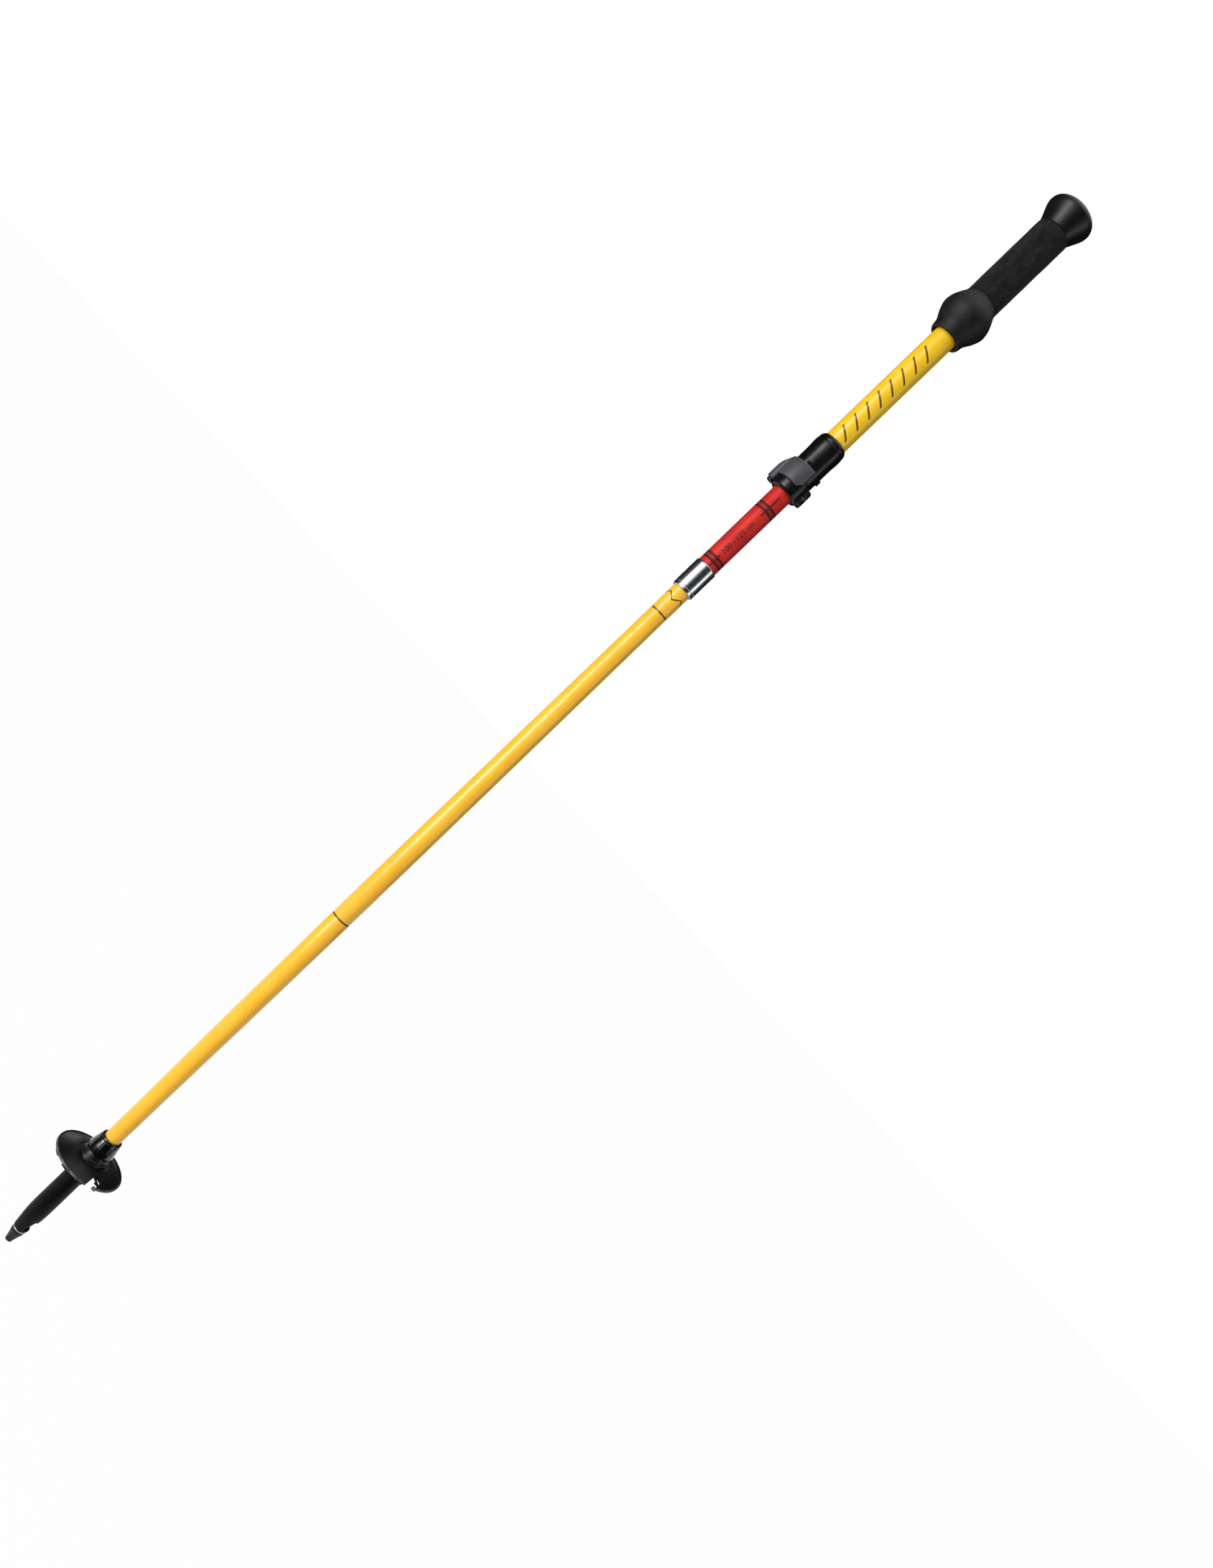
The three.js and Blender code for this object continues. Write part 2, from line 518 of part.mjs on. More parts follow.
// ---- lever lock ----
function makeLock() {
  const pocketRadius = CAM_RADIUS + LEVER_SKIN + GAP;
  const shoulder = neckTop + GAP;
  const lugTop = shoulder + LUG_HEIGHT;

  const housing = turned([
    [lockBore, lockFoot + COLLAR_FLOOR + GAP],
    [neckRadius, lockFoot + COLLAR_FLOOR + GAP],
    [neckRadius, shoulder],
    [lockRadius, shoulder],
    [lockRadius, lockTop - 14],
    [lockWaistRadius, lockTop - 10],
    [lockWaistRadius, lockTop - 5.5],
    [lockWaistRadius - 0.6, lockTop - 2.6],
    [tubeSocket + 0.7, lockTop],
    [tubeSocket, lockTop],
    [tubeSocket, upperFoot - GAP],
    [lockBore, upperFoot - GAP],
  ]);
  const shoeFoot = lockFoot + 3.5;
  const shoeTop = neckTop - 2;
  const windowHalf = SHOE_HALF_WIDTH + GAP;
  const window = block(-neckRadius - 1, -5, -windowHalf, windowHalf, shoeFoot - GAP, shoeTop + GAP);
  const camPocket = post(CAM_RADIUS + GAP, -pinLine, 0, lockFoot, shoulder - 0.01);
  const slit = block(5, neckRadius + 2, -CLAMP_SLIT / 2, CLAMP_SLIT / 2, lockFoot, shoulder - 0.01);
  const lug = post(LUG_RADIUS, -pinLine, 0, shoulder, lugTop);
  const stopRib = block(lockRadius - 2, lockRadius + 1.2, -1.5, 1.5, neckTop + 6.5, neckTop + 10.5);
  const nubFoot = neckTop - LEVER_ARM_DROP + LEVER_ARM_HEIGHT + 1;
  const nub = block(-3.8, -0.8, -lockRadius - 1, -lockRadius + 1.5, nubFoot, nubFoot + 2);
  const clearOfTube = disc(tubeSocket, shoulder + 1, lockTop + 1);
  const pinHole = post(PIN_RADIUS + GAP, -pinLine, 0, lockFoot, lugTop - 1.2, 16);
  const body = housing.subtract(window).subtract(camPocket).subtract(slit)
    .add(lug.subtract(clearOfTube)).add(stopRib.subtract(clearOfTube)).add(nub).subtract(pinHole);
  add('lock_body', body, 'blackPlastic');

  // the shoe fills the window, between the cam and the red tube
  const shoeRing = ring(neckRadius - 0.4, lockBore, shoeFoot, shoeTop);
  const shoeSector = block(-neckRadius - 1, -5, -SHOE_HALF_WIDTH, SHOE_HALF_WIDTH, shoeFoot, shoeTop);
  add('pressure_shoe', shoeRing.intersect(shoeSector).subtract(camPocket), 'whiteNylon');

  // the collar closes round the neck: a floor under the cam, and two ears with a screw through them
  const collarBore = lockCollarBore;
  const collarRing = turned([
    [collarBore, lockFoot],
    [lockCollarRadius - 1.2, lockFoot],
    [lockCollarRadius, lockFoot + 2.4],
    [lockCollarRadius, neckTop - 1.2],
    [lockCollarRadius - 1.0, neckTop],
    [collarBore, neckTop],
  ]);
  const collarFloor = ring(collarBore + 0.5, lockBore, lockFoot, lockFoot + COLLAR_FLOOR);
  const pinShelf = post(LUG_RADIUS, -pinLine, 0, lockFoot, lockFoot + COLLAR_FLOOR);
  const clearOfRed = disc(lockBore, lockFoot - 1, neckTop + 1);
  const earFoot = lockFoot + 1.6;
  const earTop = neckTop - 0.8;
  const earRound = post(earReach, 0, 0, earFoot, earTop, FACETS);
  const ears = block(7, earReach, -EAR_HALF_WIDTH, EAR_HALF_WIDTH, earFoot, earTop).intersect(earRound)
    .subtract(disc(collarBore, lockFoot - 1, neckTop + 1));
  const screwHeight = (earFoot + earTop) / 2;
  const sweep = post(pocketRadius, -pinLine, 0, lockFoot + COLLAR_FLOOR, neckTop + 1, 24);
  const earSlit = block(5, earReach + 1, -CLAMP_SLIT / 2, CLAMP_SLIT / 2, lockFoot - 1, neckTop + 1);
  const screwHole = crossBar(CLAMP_SCREW_RADIUS + GAP, clampScrewLine, -8, 8, screwHeight);
  const recess = CLAMP_HEAD_RADIUS + GAP;
  const headSeat = EAR_HALF_WIDTH - CLAMP_HEAD_HEIGHT - GAP;
  const headHole = crossBar(recess, clampScrewLine, headSeat, 8, screwHeight);
  const nutHole = crossBar(recess, clampScrewLine, -8, -headSeat, screwHeight, 6);
  const shelfHole = post(PIN_RADIUS + GAP, -pinLine, 0, lockFoot + 0.6, neckTop, 16);
  const collar = collarRing.add(collarFloor).add(pinShelf).subtract(clearOfRed).add(ears)
    .subtract(sweep).subtract(earSlit).subtract(screwHole).subtract(headHole).subtract(nutHole)
    .subtract(shelfHole);
  add('lock_collar', collar, 'blackPlastic');

  const shank = crossBar(CLAMP_SCREW_RADIUS, clampScrewLine, -headSeat - 0.5, headSeat + 0.6, screwHeight);
  const head = crossBar(CLAMP_HEAD_RADIUS, clampScrewLine, headSeat + GAP, EAR_HALF_WIDTH, screwHeight);
  const drive = crossBar(0.9, clampScrewLine, EAR_HALF_WIDTH - 0.8, EAR_HALF_WIDTH + 1, screwHeight, 6);
  add('clamp_screw', shank.add(head).subtract(drive), 'darkSteel');
  const nut = crossBar(CLAMP_HEAD_RADIUS, clampScrewLine, -EAR_HALF_WIDTH, -headSeat - GAP, screwHeight, 6);
  const nutBore = crossBar(CLAMP_SCREW_RADIUS + GAP, clampScrewLine, -8, 0, screwHeight);
  add('clamp_nut', nut.subtract(nutBore), 'darkSteel');

  const pinFoot = lockFoot + 0.6 + GAP;
  add('lever_pin', post(PIN_RADIUS, -pinLine, 0, pinFoot, lugTop - 1.2 - GAP, 12), 'steel');

  // the lever: a cam round the pin, a skin outside it, and a curved arm across the housing
  const leverFoot = lockFoot + COLLAR_FLOOR + GAP;
  const armFoot = neckTop - LEVER_ARM_DROP;
  const armTop = armFoot + LEVER_ARM_HEIGHT;
  const skinRadius = CAM_RADIUS + LEVER_SKIN;
  const reach = pinLine + skinRadius;
  const envelope = disc(reach, leverFoot, armTop - LEVER_CHAMFER)
    .add(turned([
      [0, armTop - LEVER_CHAMFER - 0.01],
      [reach, armTop - LEVER_CHAMFER - 0.01],
      [armBore + 0.9, armTop],
      [0, armTop],
    ]));
  const cam = post(CAM_RADIUS, -pinLine, 0, leverFoot, neckTop, 24);
  const corner = new THREE.BoxGeometry(LEVER_CORNER * 1.42, 2 * reach, LEVER_CORNER * 1.42);
  corner.rotateY(THREE.MathUtils.degToRad(38));
  corner.translate(LEVER_END + 0.6, -reach, armFoot - 0.6);
  const arm = ring(armRadius, armBore, armFoot, armTop)
    .intersect(block(-pinLine, LEVER_END, -reach, 0, armFoot, armTop))
    .subtract(toManifold(corner));
  const skinTube = post(skinRadius, -pinLine, 0, leverFoot, armTop, 24)
    .intersect(block(-reach - 1, -pinLine + 0.8, -reach, 0, leverFoot, armTop));
  const clearOfLug = post(CAM_RADIUS, -pinLine, 0, neckTop, armTop + 1, 24);
  const clearOfHousing = disc(lockRadius + GAP, neckTop, armTop + 1);
  const leverSolid = arm.add(skinTube).subtract(clearOfLug).subtract(clearOfHousing)
    .intersect(envelope).add(cam).subtract(post(PIN_RADIUS + GAP, -pinLine, 0, lockFoot, armTop + 1, 16));
  add('lock_lever', leverSolid, 'greyPlastic');
}

// ---- upper tube and grip ----
function makeGrip() {
  add('upper_tube', ring(upperRadius, upperBore, upperFoot, upperTop), 'yellowPaint');
  add('tube_plug', disc(upperBore - GAP, upperTop - PLUG_LENGTH, upperTop), 'blackPlastic');

  const bore = gripBore;
  const guardTop = guardFoot + GUARD_LENGTH;
  const bulbCentre = guardFoot + 23.3;
  add('grip_guard', turned([
    [bore, guardFoot + 3],
    [bore + 1.6, guardFoot],
    [lipRadius - 1, guardFoot],
    [lipRadius, guardFoot + 2.5],
    [lipRadius + 0.3, guardFoot + 8],
    ...arc(0, bulbCentre, guardRadius, -40, 42, 8),
    [foamRadius + 0.2, guardTop],
    [bore, guardTop],
  ]), 'rubber');

  const foamTop = foamFoot + FOAM_LENGTH;
  add('grip_foam', turned([
    [bore, foamFoot],
    [foamRadius, foamFoot],
    [foamRadius, foamTop - 1],
    [foamRadius - 0.6, foamTop],
    [bore, foamTop],
  ]), 'foam');

  const flareHeight = CAP_FLARE_HEIGHT;
  const dome = capTop - capFoot - flareHeight;
  add('grip_cap', turned([
    [bore, capFoot],
    [capNeckRadius - 0.3, capFoot],
    [capNeckRadius + 0.3, capFoot + 2.2],
    [capNeckRadius + 2.1, capFoot + 6.5],
    [capNeckRadius + 4.4, capFoot + 11.2],
    [capRadius - 0.25, capFoot + 14.2],
    [capRadius, capFoot + flareHeight],
    [capRadius - 0.8, capFoot + flareHeight + dome * 0.3],
    [capRadius - 3.6, capFoot + flareHeight + dome * 0.65],
    [capRadius - 9, capFoot + flareHeight + dome * 0.92],
    [0, capTop],
    [0, capFoot + CAP_SOCKET],
    [bore, capFoot + CAP_SOCKET],
  ]), 'blackPlastic');
}

makeTip();
makeBasket();
makeFoldingShaft();
makeCord();
makeUpperJoint();
makeAdjustingSection();
makeLock();
makeGrip();

export default pole;
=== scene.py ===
# A folding trekking pole, standing on its tip: turned tubes, a lever lock, a foam grip and a basket.
# Heights in this script are millimetres up from the tip's end face, and the camera stands on the -Y side.
import math

import bmesh
import bpy
from mathutils import Matrix, Vector, noise


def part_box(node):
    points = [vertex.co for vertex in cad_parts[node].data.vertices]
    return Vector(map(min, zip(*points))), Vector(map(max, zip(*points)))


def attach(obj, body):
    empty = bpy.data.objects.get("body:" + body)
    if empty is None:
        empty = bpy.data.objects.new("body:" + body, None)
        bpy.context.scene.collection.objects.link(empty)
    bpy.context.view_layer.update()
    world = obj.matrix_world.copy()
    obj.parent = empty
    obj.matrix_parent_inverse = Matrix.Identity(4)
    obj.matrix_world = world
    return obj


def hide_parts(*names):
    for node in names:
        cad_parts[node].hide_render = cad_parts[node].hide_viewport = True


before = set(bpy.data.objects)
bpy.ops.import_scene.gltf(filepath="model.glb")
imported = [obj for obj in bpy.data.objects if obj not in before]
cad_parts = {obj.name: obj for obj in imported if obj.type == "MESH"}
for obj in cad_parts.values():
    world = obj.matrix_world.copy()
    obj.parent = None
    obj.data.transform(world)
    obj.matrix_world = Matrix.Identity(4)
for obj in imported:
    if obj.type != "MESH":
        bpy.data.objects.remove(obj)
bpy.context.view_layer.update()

MM = 0.001
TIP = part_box("carbide_tip")[0][2]
FULL_TURN = 2 * math.pi
scene = bpy.context.scene
scene.view_settings.view_transform = "Standard"


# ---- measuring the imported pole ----
def span(node):
    """Lowest and highest point of a node, in millimetres above the tip's end."""
    low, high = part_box(node)
    return (low[2] - TIP) / MM, (high[2] - TIP) / MM


def reach(node):
    """The radius of a node that is turned about the pole's axis."""
    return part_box(node)[1][1] / MM


# ---- shaping ----
def lathe(outline, steps=96, foot=TIP):
    """Turn (radius, height, softness) stops about the upright axis; softness rounds that corner."""
    shape = bmesh.new()
    stops = []
    for stop in outline:
        vert = shape.verts.new((stop[0] * MM, 0, foot + stop[1] * MM))
        stops.append((vert, stop[2] if len(stop) > 2 else 0))
    for (near, _), (far, _) in zip(stops, stops[1:]):
        shape.edges.new((near, far))
    if outline[0][0] or outline[-1][0]:
        shape.edges.new((stops[-1][0], stops[0][0]))
    for vert, softness in stops:
        if softness:
            bmesh.ops.bevel(
                shape, geom=[vert], offset=softness * MM, offset_type="OFFSET", affect="VERTICES",
                segments=4 if softness < 1 else 10, profile=0.5, material=-1, clamp_overlap=True,
            )
    bmesh.ops.spin(
        shape, geom=shape.verts[:] + shape.edges[:], cent=(0, 0, 0), axis=(0, 0, 1), dvec=(0, 0, 0),
        angle=FULL_TURN, steps=steps, use_merge=True,
    )
    bmesh.ops.remove_doubles(shape, verts=shape.verts, dist=1e-7)
    bmesh.ops.dissolve_degenerate(shape, edges=shape.edges, dist=1e-7)
    bmesh.ops.delete(shape, geom=[edge for edge in shape.edges if edge.is_wire], context="EDGES")
    bmesh.ops.recalc_face_normals(shape, faces=shape.faces)
    if shape.calc_volume(signed=True) < 0:
        bmesh.ops.reverse_faces(shape, faces=shape.faces)
    return shape


def block(x, y, z, softness=0.0, turn=0.0, foot=TIP):
    """A box from its (low, high) pairs in millimetres, turned about the pole's axis in degrees."""
    shape = bmesh.new()
    bmesh.ops.create_cube(shape, size=1.0)
    size = Vector((x[1] - x[0], y[1] - y[0], z[1] - z[0])) * MM
    middle = Vector((x[1] + x[0], y[1] + y[0], z[1] + z[0])) * MM / 2 + Vector((0, 0, foot))
    bmesh.ops.scale(shape, vec=size, verts=shape.verts)
    if softness:
        soften(shape, softness)
    bmesh.ops.translate(shape, vec=middle, verts=shape.verts)
    bmesh.ops.rotate(
        shape, cent=(0, 0, 0), matrix=Matrix.Rotation(math.radians(turn), 3, "Z"), verts=shape.verts,
    )
    return shape


def soften(shape, softness, segments=3, angle=30):
    """Round the sharp edges of a solid."""
    sharp = [edge for edge in shape.edges if edge.calc_face_angle(0) > math.radians(angle)]
    bmesh.ops.bevel(
        shape, geom=sharp, offset=softness * MM, offset_type="OFFSET", affect="EDGES",
        segments=segments, profile=0.5, material=-1, clamp_overlap=True,
    )


def post(radius, x, y, foot, top, steps=48, softness=0.0):
    """An upright round post beside the axis."""
    shape = lathe([(0, foot), (radius, foot, softness), (radius, top, softness), (0, top)], steps)
    bmesh.ops.translate(shape, vec=(x * MM, y * MM, 0), verts=shape.verts)
    return shape


def across(outline, x, z, steps=48):
    """Turn an outline about a line along Y through (x, z); its heights run along Y."""
    shape = lathe(outline, steps, foot=0)
    quarter = Matrix.Rotation(-math.pi / 2, 3, "X")
    bmesh.ops.rotate(shape, cent=(0, 0, 0), matrix=quarter, verts=shape.verts)
    bmesh.ops.translate(shape, vec=(x * MM, 0, TIP + z * MM), verts=shape.verts)
    return shape


def gathered(*shapes):
    """Several separate solids as one mesh."""
    whole = bmesh.new()
    for shape in shapes:
        mesh = bpy.data.meshes.new("gathered")
        shape.to_mesh(mesh)
        shape.free()
        whole.from_mesh(mesh)
        bpy.data.meshes.remove(mesh)
    return whole


def loose(shape):
    mesh = bpy.data.meshes.new("blank")
    shape.to_mesh(mesh)
    shape.free()
    piece = bpy.data.objects.new("blank", mesh)
    scene.collection.objects.link(piece)
    return piece


def carve(base, *cuts):
    """Cut ("DIFFERENCE"), add ("UNION") or keep the overlap ("INTERSECT") with other solids, in order."""
    for operation, shape in cuts:
        blank = loose(base)
        tool = loose(shape)
        cut = blank.modifiers.new("cut", "BOOLEAN")
        cut.operation = operation
        cut.solver = "EXACT"
        cut.object = tool
        bpy.context.view_layer.update()
        finished = blank.evaluated_get(bpy.context.evaluated_depsgraph_get()).to_mesh()
        base = bmesh.new()
        base.from_mesh(finished)
        for used in (blank, tool):
            mesh = used.data
            bpy.data.objects.remove(used)
            bpy.data.meshes.remove(mesh)
        bmesh.ops.remove_doubles(base, verts=base.verts, dist=2e-6)
        bmesh.ops.dissolve_degenerate(base, edges=base.edges, dist=1e-6)
    return base


def place(name, shape, body, slot, finish, *nodes, sharp=38, rounded=0.0):
    """Finish a solid as a piece of the pole, standing for the named CAD nodes."""
    mesh = bpy.data.meshes.new(name)
    shape.to_mesh(mesh)
    shape.free()
    mesh.materials.append(finish)
    mesh.shade_smooth()
    mesh.set_sharp_from_angle(angle=math.radians(sharp))
    piece = bpy.data.objects.new(name, mesh)
    scene.collection.objects.link(piece)
    if rounded:
        edge = piece.modifiers.new("rounded_edges", "BEVEL")
        edge.width = rounded * MM
        edge.segments = 3
        edge.limit_method = "ANGLE"
        edge.angle_limit = math.radians(32)
        edge.harden_normals = True
        edge.use_clamp_overlap = True
    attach(piece, body)
    if nodes:
        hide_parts(*nodes)
    return piece


# ---- shader maths ----
class Value:
    """A socket of a shader, worked with as a number."""

    def __init__(self, nodes, socket):
        self.nodes = nodes
        self.socket = socket

    def maths(self, operation, first, second=None, clamp=False):
        sockets = {0: first}
        if second is not None:
            sockets[1] = second
        settings = {"operation": operation, "use_clamp": clamp}
        return self.nodes.node("ShaderNodeMath", settings, sockets)

    def __add__(self, other):
        return self.maths("ADD", self, other)

    def __radd__(self, other):
        return self.maths("ADD", other, self)

    def __sub__(self, other):
        return self.maths("SUBTRACT", self, other)

    def __rsub__(self, other):
        return self.maths("SUBTRACT", other, self)

    def __mul__(self, other):
        return self.maths("MULTIPLY", self, other)

    def __rmul__(self, other):
        return self.maths("MULTIPLY", other, self)

    def __pow__(self, other):
        return self.maths("POWER", self, other)

    def __abs__(self):
        return self.maths("ABSOLUTE", self)

    def held(self):
        """Kept between 0 and 1."""
        return self.maths("ADD", self, 0.0, clamp=True)


def paint(red, green, blue):
    """A colour chart value, 0 to 255, as the shader wants it."""
    channels = []
    for level in (red, green, blue):
        share = level / 255
        channels.append(((share + 0.055) / 1.055) ** 2.4 if share > 0.04045 else share / 12.92)
    return (*channels, 1.0)


class Nodes:
    """The shader nodes of a finish, the floor or the world."""

    def __init__(self, tree):
        self.tree = tree
        tree.nodes.clear()

    def node(self, kind, settings=None, sockets=None, out=0):
        node = self.tree.nodes.new(kind)
        for key, setting in (settings or {}).items():
            setattr(node, key, setting)
        for key, value in (sockets or {}).items():
            if isinstance(value, Value):
                self.tree.links.new(value.socket, node.inputs[key])
            else:
                node.inputs[key].default_value = value
        return Value(self, node.outputs[out]) if node.outputs else None

    def seen_directly(self):
        """Rays that should meet plain white: camera, mirror and glass rays."""
        total = self.node("ShaderNodeLightPath", out="Is Camera Ray")
        for name in ("Is Glossy Ray", "Is Transmission Ray"):
            total = total.maths("MAXIMUM", total, self.node("ShaderNodeLightPath", out=name))
        return total


class Finish(Nodes):
    """A material under construction."""

    def __init__(self, name):
        self.material = bpy.data.materials.new(name)
        self.material.use_nodes = True
        super().__init__(self.material.node_tree)
        self.position = self.node("ShaderNodeTexCoord", None, None, "Object")
        self.x = self.node("ShaderNodeSeparateXYZ", None, {0: self.position}, 0)
        self.y = self.node("ShaderNodeSeparateXYZ", None, {0: self.position}, 1)
        self.z = self.node("ShaderNodeSeparateXYZ", None, {0: self.position}, 2)

    def grain(self, size, detail=3.0, stretch=(1, 1, 1), rough=0.55, shift=0.0):
        """Noise from 0 to 1 whose grains are about this many millimetres across."""
        where = self.node(
            "ShaderNodeMapping", None,
            {0: self.position, "Scale": stretch, "Location": (shift, shift * 0.7, shift * 1.3)},
        )
        return self.node(
            "ShaderNodeTexNoise", None,
            {"Vector": where, "Scale": 1000.0 / size, "Detail": detail, "Roughness": rough},
        )

    def cells(self, size, feature="F1", stretch=(1, 1, 1)):
        """Distance inside a field of cells about this many millimetres across."""
        where = self.node("ShaderNodeMapping", None, {0: self.position, "Scale": stretch})
        return self.node(
            "ShaderNodeTexVoronoi", {"feature": feature}, {"Vector": where, "Scale": 1000.0 / size},
        )

    def step(self, value, low, high):
        """0 below low, 1 above high, smooth between."""
        return self.node(
            "ShaderNodeMapRange", {"interpolation_type": "SMOOTHSTEP"},
            {"Value": value, "From Min": low, "From Max": high, "To Min": 0.0, "To Max": 1.0},
        )

    def height(self):
        """Height above the tip's end, in millimetres."""
        return (self.z - TIP) * 1000.0

    def band(self, foot, top, edge=0.12):
        """1 between two heights."""
        height = self.height()
        return self.step(height, foot - edge, foot + edge) * (1 - self.step(height, top - edge, top + edge))

    def tint(self, amount, low, high):
        """A colour between two others."""
        return self.node(
            "ShaderNodeMix", {"data_type": "RGBA", "clamp_factor": True}, {0: amount, 6: low, 7: high}, 2,
        )

    def surface(self, colour, roughness, relief, depth, fixed=None, **varied):
        """Close the finish: relief is a height from 0 to 1, depth its size in millimetres."""
        bump = {"Strength": 1.0, "Distance": depth * MM, "Height": relief}
        normal = self.node("ShaderNodeBump", None, bump)
        sockets = {"Base Color": colour, "Roughness": roughness, "Normal": normal}
        sockets.update(varied)
        sockets.update(fixed or {})
        shader = self.node("ShaderNodeBsdfPrincipled", None, sockets)
        self.node("ShaderNodeOutputMaterial", None, {"Surface": shader})
        return self.material


# ---- finishes ----
def painted_tube(name, main, deep, pale, rubbed=(), seams=(), marks=None):
    """Baked enamel on a metal tube: faint mottling, fine lengthwise scuffs, rubbed bands at the joints and
    painted shade darkening the fold seams.
    """
    finish = Finish(name)
    cloud = finish.grain(26, 3)
    peel = finish.grain(0.9, 2, shift=0.3)
    scuffs = finish.step(finish.grain(1.1, 4, stretch=(1, 1, 0.035), rough=0.7), 0.6, 0.74)
    specks = finish.step(finish.grain(1.6, 2, shift=0.9), 0.7, 0.78)
    colour = finish.tint(finish.step(cloud, 0.35, 0.7) * 0.6, main, pale)
    colour = finish.tint(scuffs * 0.16, colour, pale)
    colour = finish.tint(specks * 0.12, colour, deep)
    wear = scuffs * 0.3 + specks * 0.2
    for foot, top in rubbed:
        patches = finish.step(finish.grain(3.2, 4, stretch=(1, 1, 2.5)), 0.42, 0.66)
        near = finish.band(foot, top, 2.5) * patches
        colour = finish.tint(near * 0.16, colour, deep)
        wear = wear + near * 0.4
    for foot, top in seams:
        # the fold seams are darkened brown: painted shade in the seam grooves between the tubes
        seam_shade = finish.band(foot, top, 0.15) * (0.6 + finish.grain(2.5, 2, shift=0.5) * 0.4)
        colour = finish.tint(seam_shade, colour, paint(84, 56, 14))
    if marks:
        colour = finish.tint(marks(finish) * 0.9, colour, paint(46, 22, 14))
    roughness = 0.26 + wear * 0.16 + cloud * 0.08
    relief = peel * 0.6 + scuffs * -0.4
    fixed = {"Coat Weight": 0.35, "Coat Roughness": 0.26, "Specular IOR Level": 0.4}
    return finish.surface(colour, roughness.held(), relief, 0.003, fixed)


def slanted_strokes(finish):
    """A row of plain slanted strokes on the camera's side, between the lock and the grip."""
    lean = finish.height() + finish.x * 700.0
    along = finish.node("ShaderNodeMath", {"operation": "PINGPONG"}, {0: lean, 1: 5.6})
    strokes = 1 - finish.step(along, 0.75, 1.0)
    side = (1 - finish.step(abs(finish.x), 0.0048, 0.0052)) * (1 - finish.step(finish.y, -0.004, -0.003))
    return strokes * side * finish.step(lean, 800.4, 800.8) * (1 - finish.step(lean, 890.4, 890.8))


def zigzag_ring(finish):
    """A plain zigzag line round the stub."""
    angle = finish.node("ShaderNodeMath", {"operation": "ARCTAN2"}, {0: finish.y, 1: finish.x})
    wave = finish.node("ShaderNodeMath", {"operation": "PINGPONG"}, {0: angle * 5.6, 1: 4.4})
    offset = abs(finish.height() - wave - 641.0)
    return 1 - finish.step(offset, 0.45, 0.75)


def anodised(name):
    """Dyed, anodised metal: fine lengthwise draw lines, printed double rings and a length line."""
    finish = Finish(name)
    main = paint(186, 30, 33)
    deep = paint(120, 8, 14)
    pale = paint(202, 44, 38)
    drawn = finish.grain(0.5, 4, stretch=(1, 1, 0.02), rough=0.65)
    cloud = finish.grain(18, 3)
    colour = finish.tint(finish.step(cloud, 0.35, 0.7), main, pale)
    colour = finish.tint(finish.step(drawn, 0.45, 0.75) * 0.2, colour, deep)
    rubs = finish.step(finish.grain(2.4, 4, stretch=(1, 1, 0.08), shift=0.5), 0.62, 0.75)
    colour = finish.tint(rubs * 0.15, colour, pale)
    print_mask = 0.0
    foot = span("adjusting_tube")[0]
    for ring in range(6):
        centre = foot + 6.05 + ring * 50
        print_mask = print_mask + finish.band(centre - 2.8, centre + 2.8) * 0.5
        lines = finish.band(centre - 2.8, centre - 1.1) + finish.band(centre + 1.1, centre + 2.8)
        print_mask = print_mask + lines * 0.5
    facing = 1 - finish.step(finish.y, -0.004, -0.002)
    line = (1 - finish.step(abs(finish.x - 0.0012), 0.0004, 0.0006)) * facing
    stretches = finish.band(foot, foot + 11) + finish.band(foot + 49.5, foot + 68)
    stretches = stretches + finish.band(foot + 92, foot + 118) + finish.band(foot + 142, foot + 168)
    printed = (print_mask + line * stretches).held() * (0.9 - rubs * 0.3)
    colour = finish.tint(printed, colour, paint(30, 6, 10))
    roughness = 0.5 + drawn * 0.08 + rubs * 0.08 + printed * 0.08
    metal = 0.18 - printed * 0.18
    relief = drawn * 0.7 + printed * 0.8
    return finish.surface(colour, roughness, relief, 0.0015, {"Specular IOR Level": 0.25}, Metallic=metal)


def moulded(
    name, main, pale, roughness=0.42, pores=0.45, depth=0.02, seam=False, coat=0.0, gloss=0.36, rim=None,
):
    """Moulded plastic: a fine spark-eroded grain, flow marks, light scuffs and, given a rim radius, a painted
    highlight mixed with edge wear on the proud rim.
    """
    finish = Finish(name)
    texture = finish.grain(pores, 3)
    flow = finish.grain(9, 3, stretch=(1, 1, 0.5))
    scuffs = finish.step(finish.grain(1.3, 5, stretch=(1, 0.25, 1), rough=0.72, shift=0.4), 0.6, 0.75)
    colour = finish.tint(finish.step(flow, 0.4, 0.7) * 0.35 + scuffs * 0.3, main, pale)
    relief = texture * 0.7 - scuffs * 0.3
    if seam:
        line = 1 - finish.step(abs(finish.y), 0.00008, 0.0002)
        relief = relief + line * 1.5
        colour = finish.tint(line * 0.25, colour, pale)
    if rim:
        out = (finish.x * finish.x + finish.y * finish.y) ** 0.5
        edge = finish.step(out, rim * MM, (rim + 0.6) * MM)
        # beyond the rim radius the colour turns grey: a painted highlight on the rim edge, broken up by noise
        # like wear
        rim_highlight_and_wear = edge * (0.35 + finish.step(finish.grain(4, 4, shift=0.7), 0.4, 0.6) * 0.65)
        colour = finish.tint(rim_highlight_and_wear * 0.6, colour, paint(128, 128, 130))
    rough = roughness + flow * 0.12 + scuffs * 0.14 - texture * 0.06
    fixed = {"Coat Weight": coat, "Coat Roughness": 0.08, "Specular IOR Level": gloss}
    return finish.surface(colour, rough.held(), relief, depth, fixed)


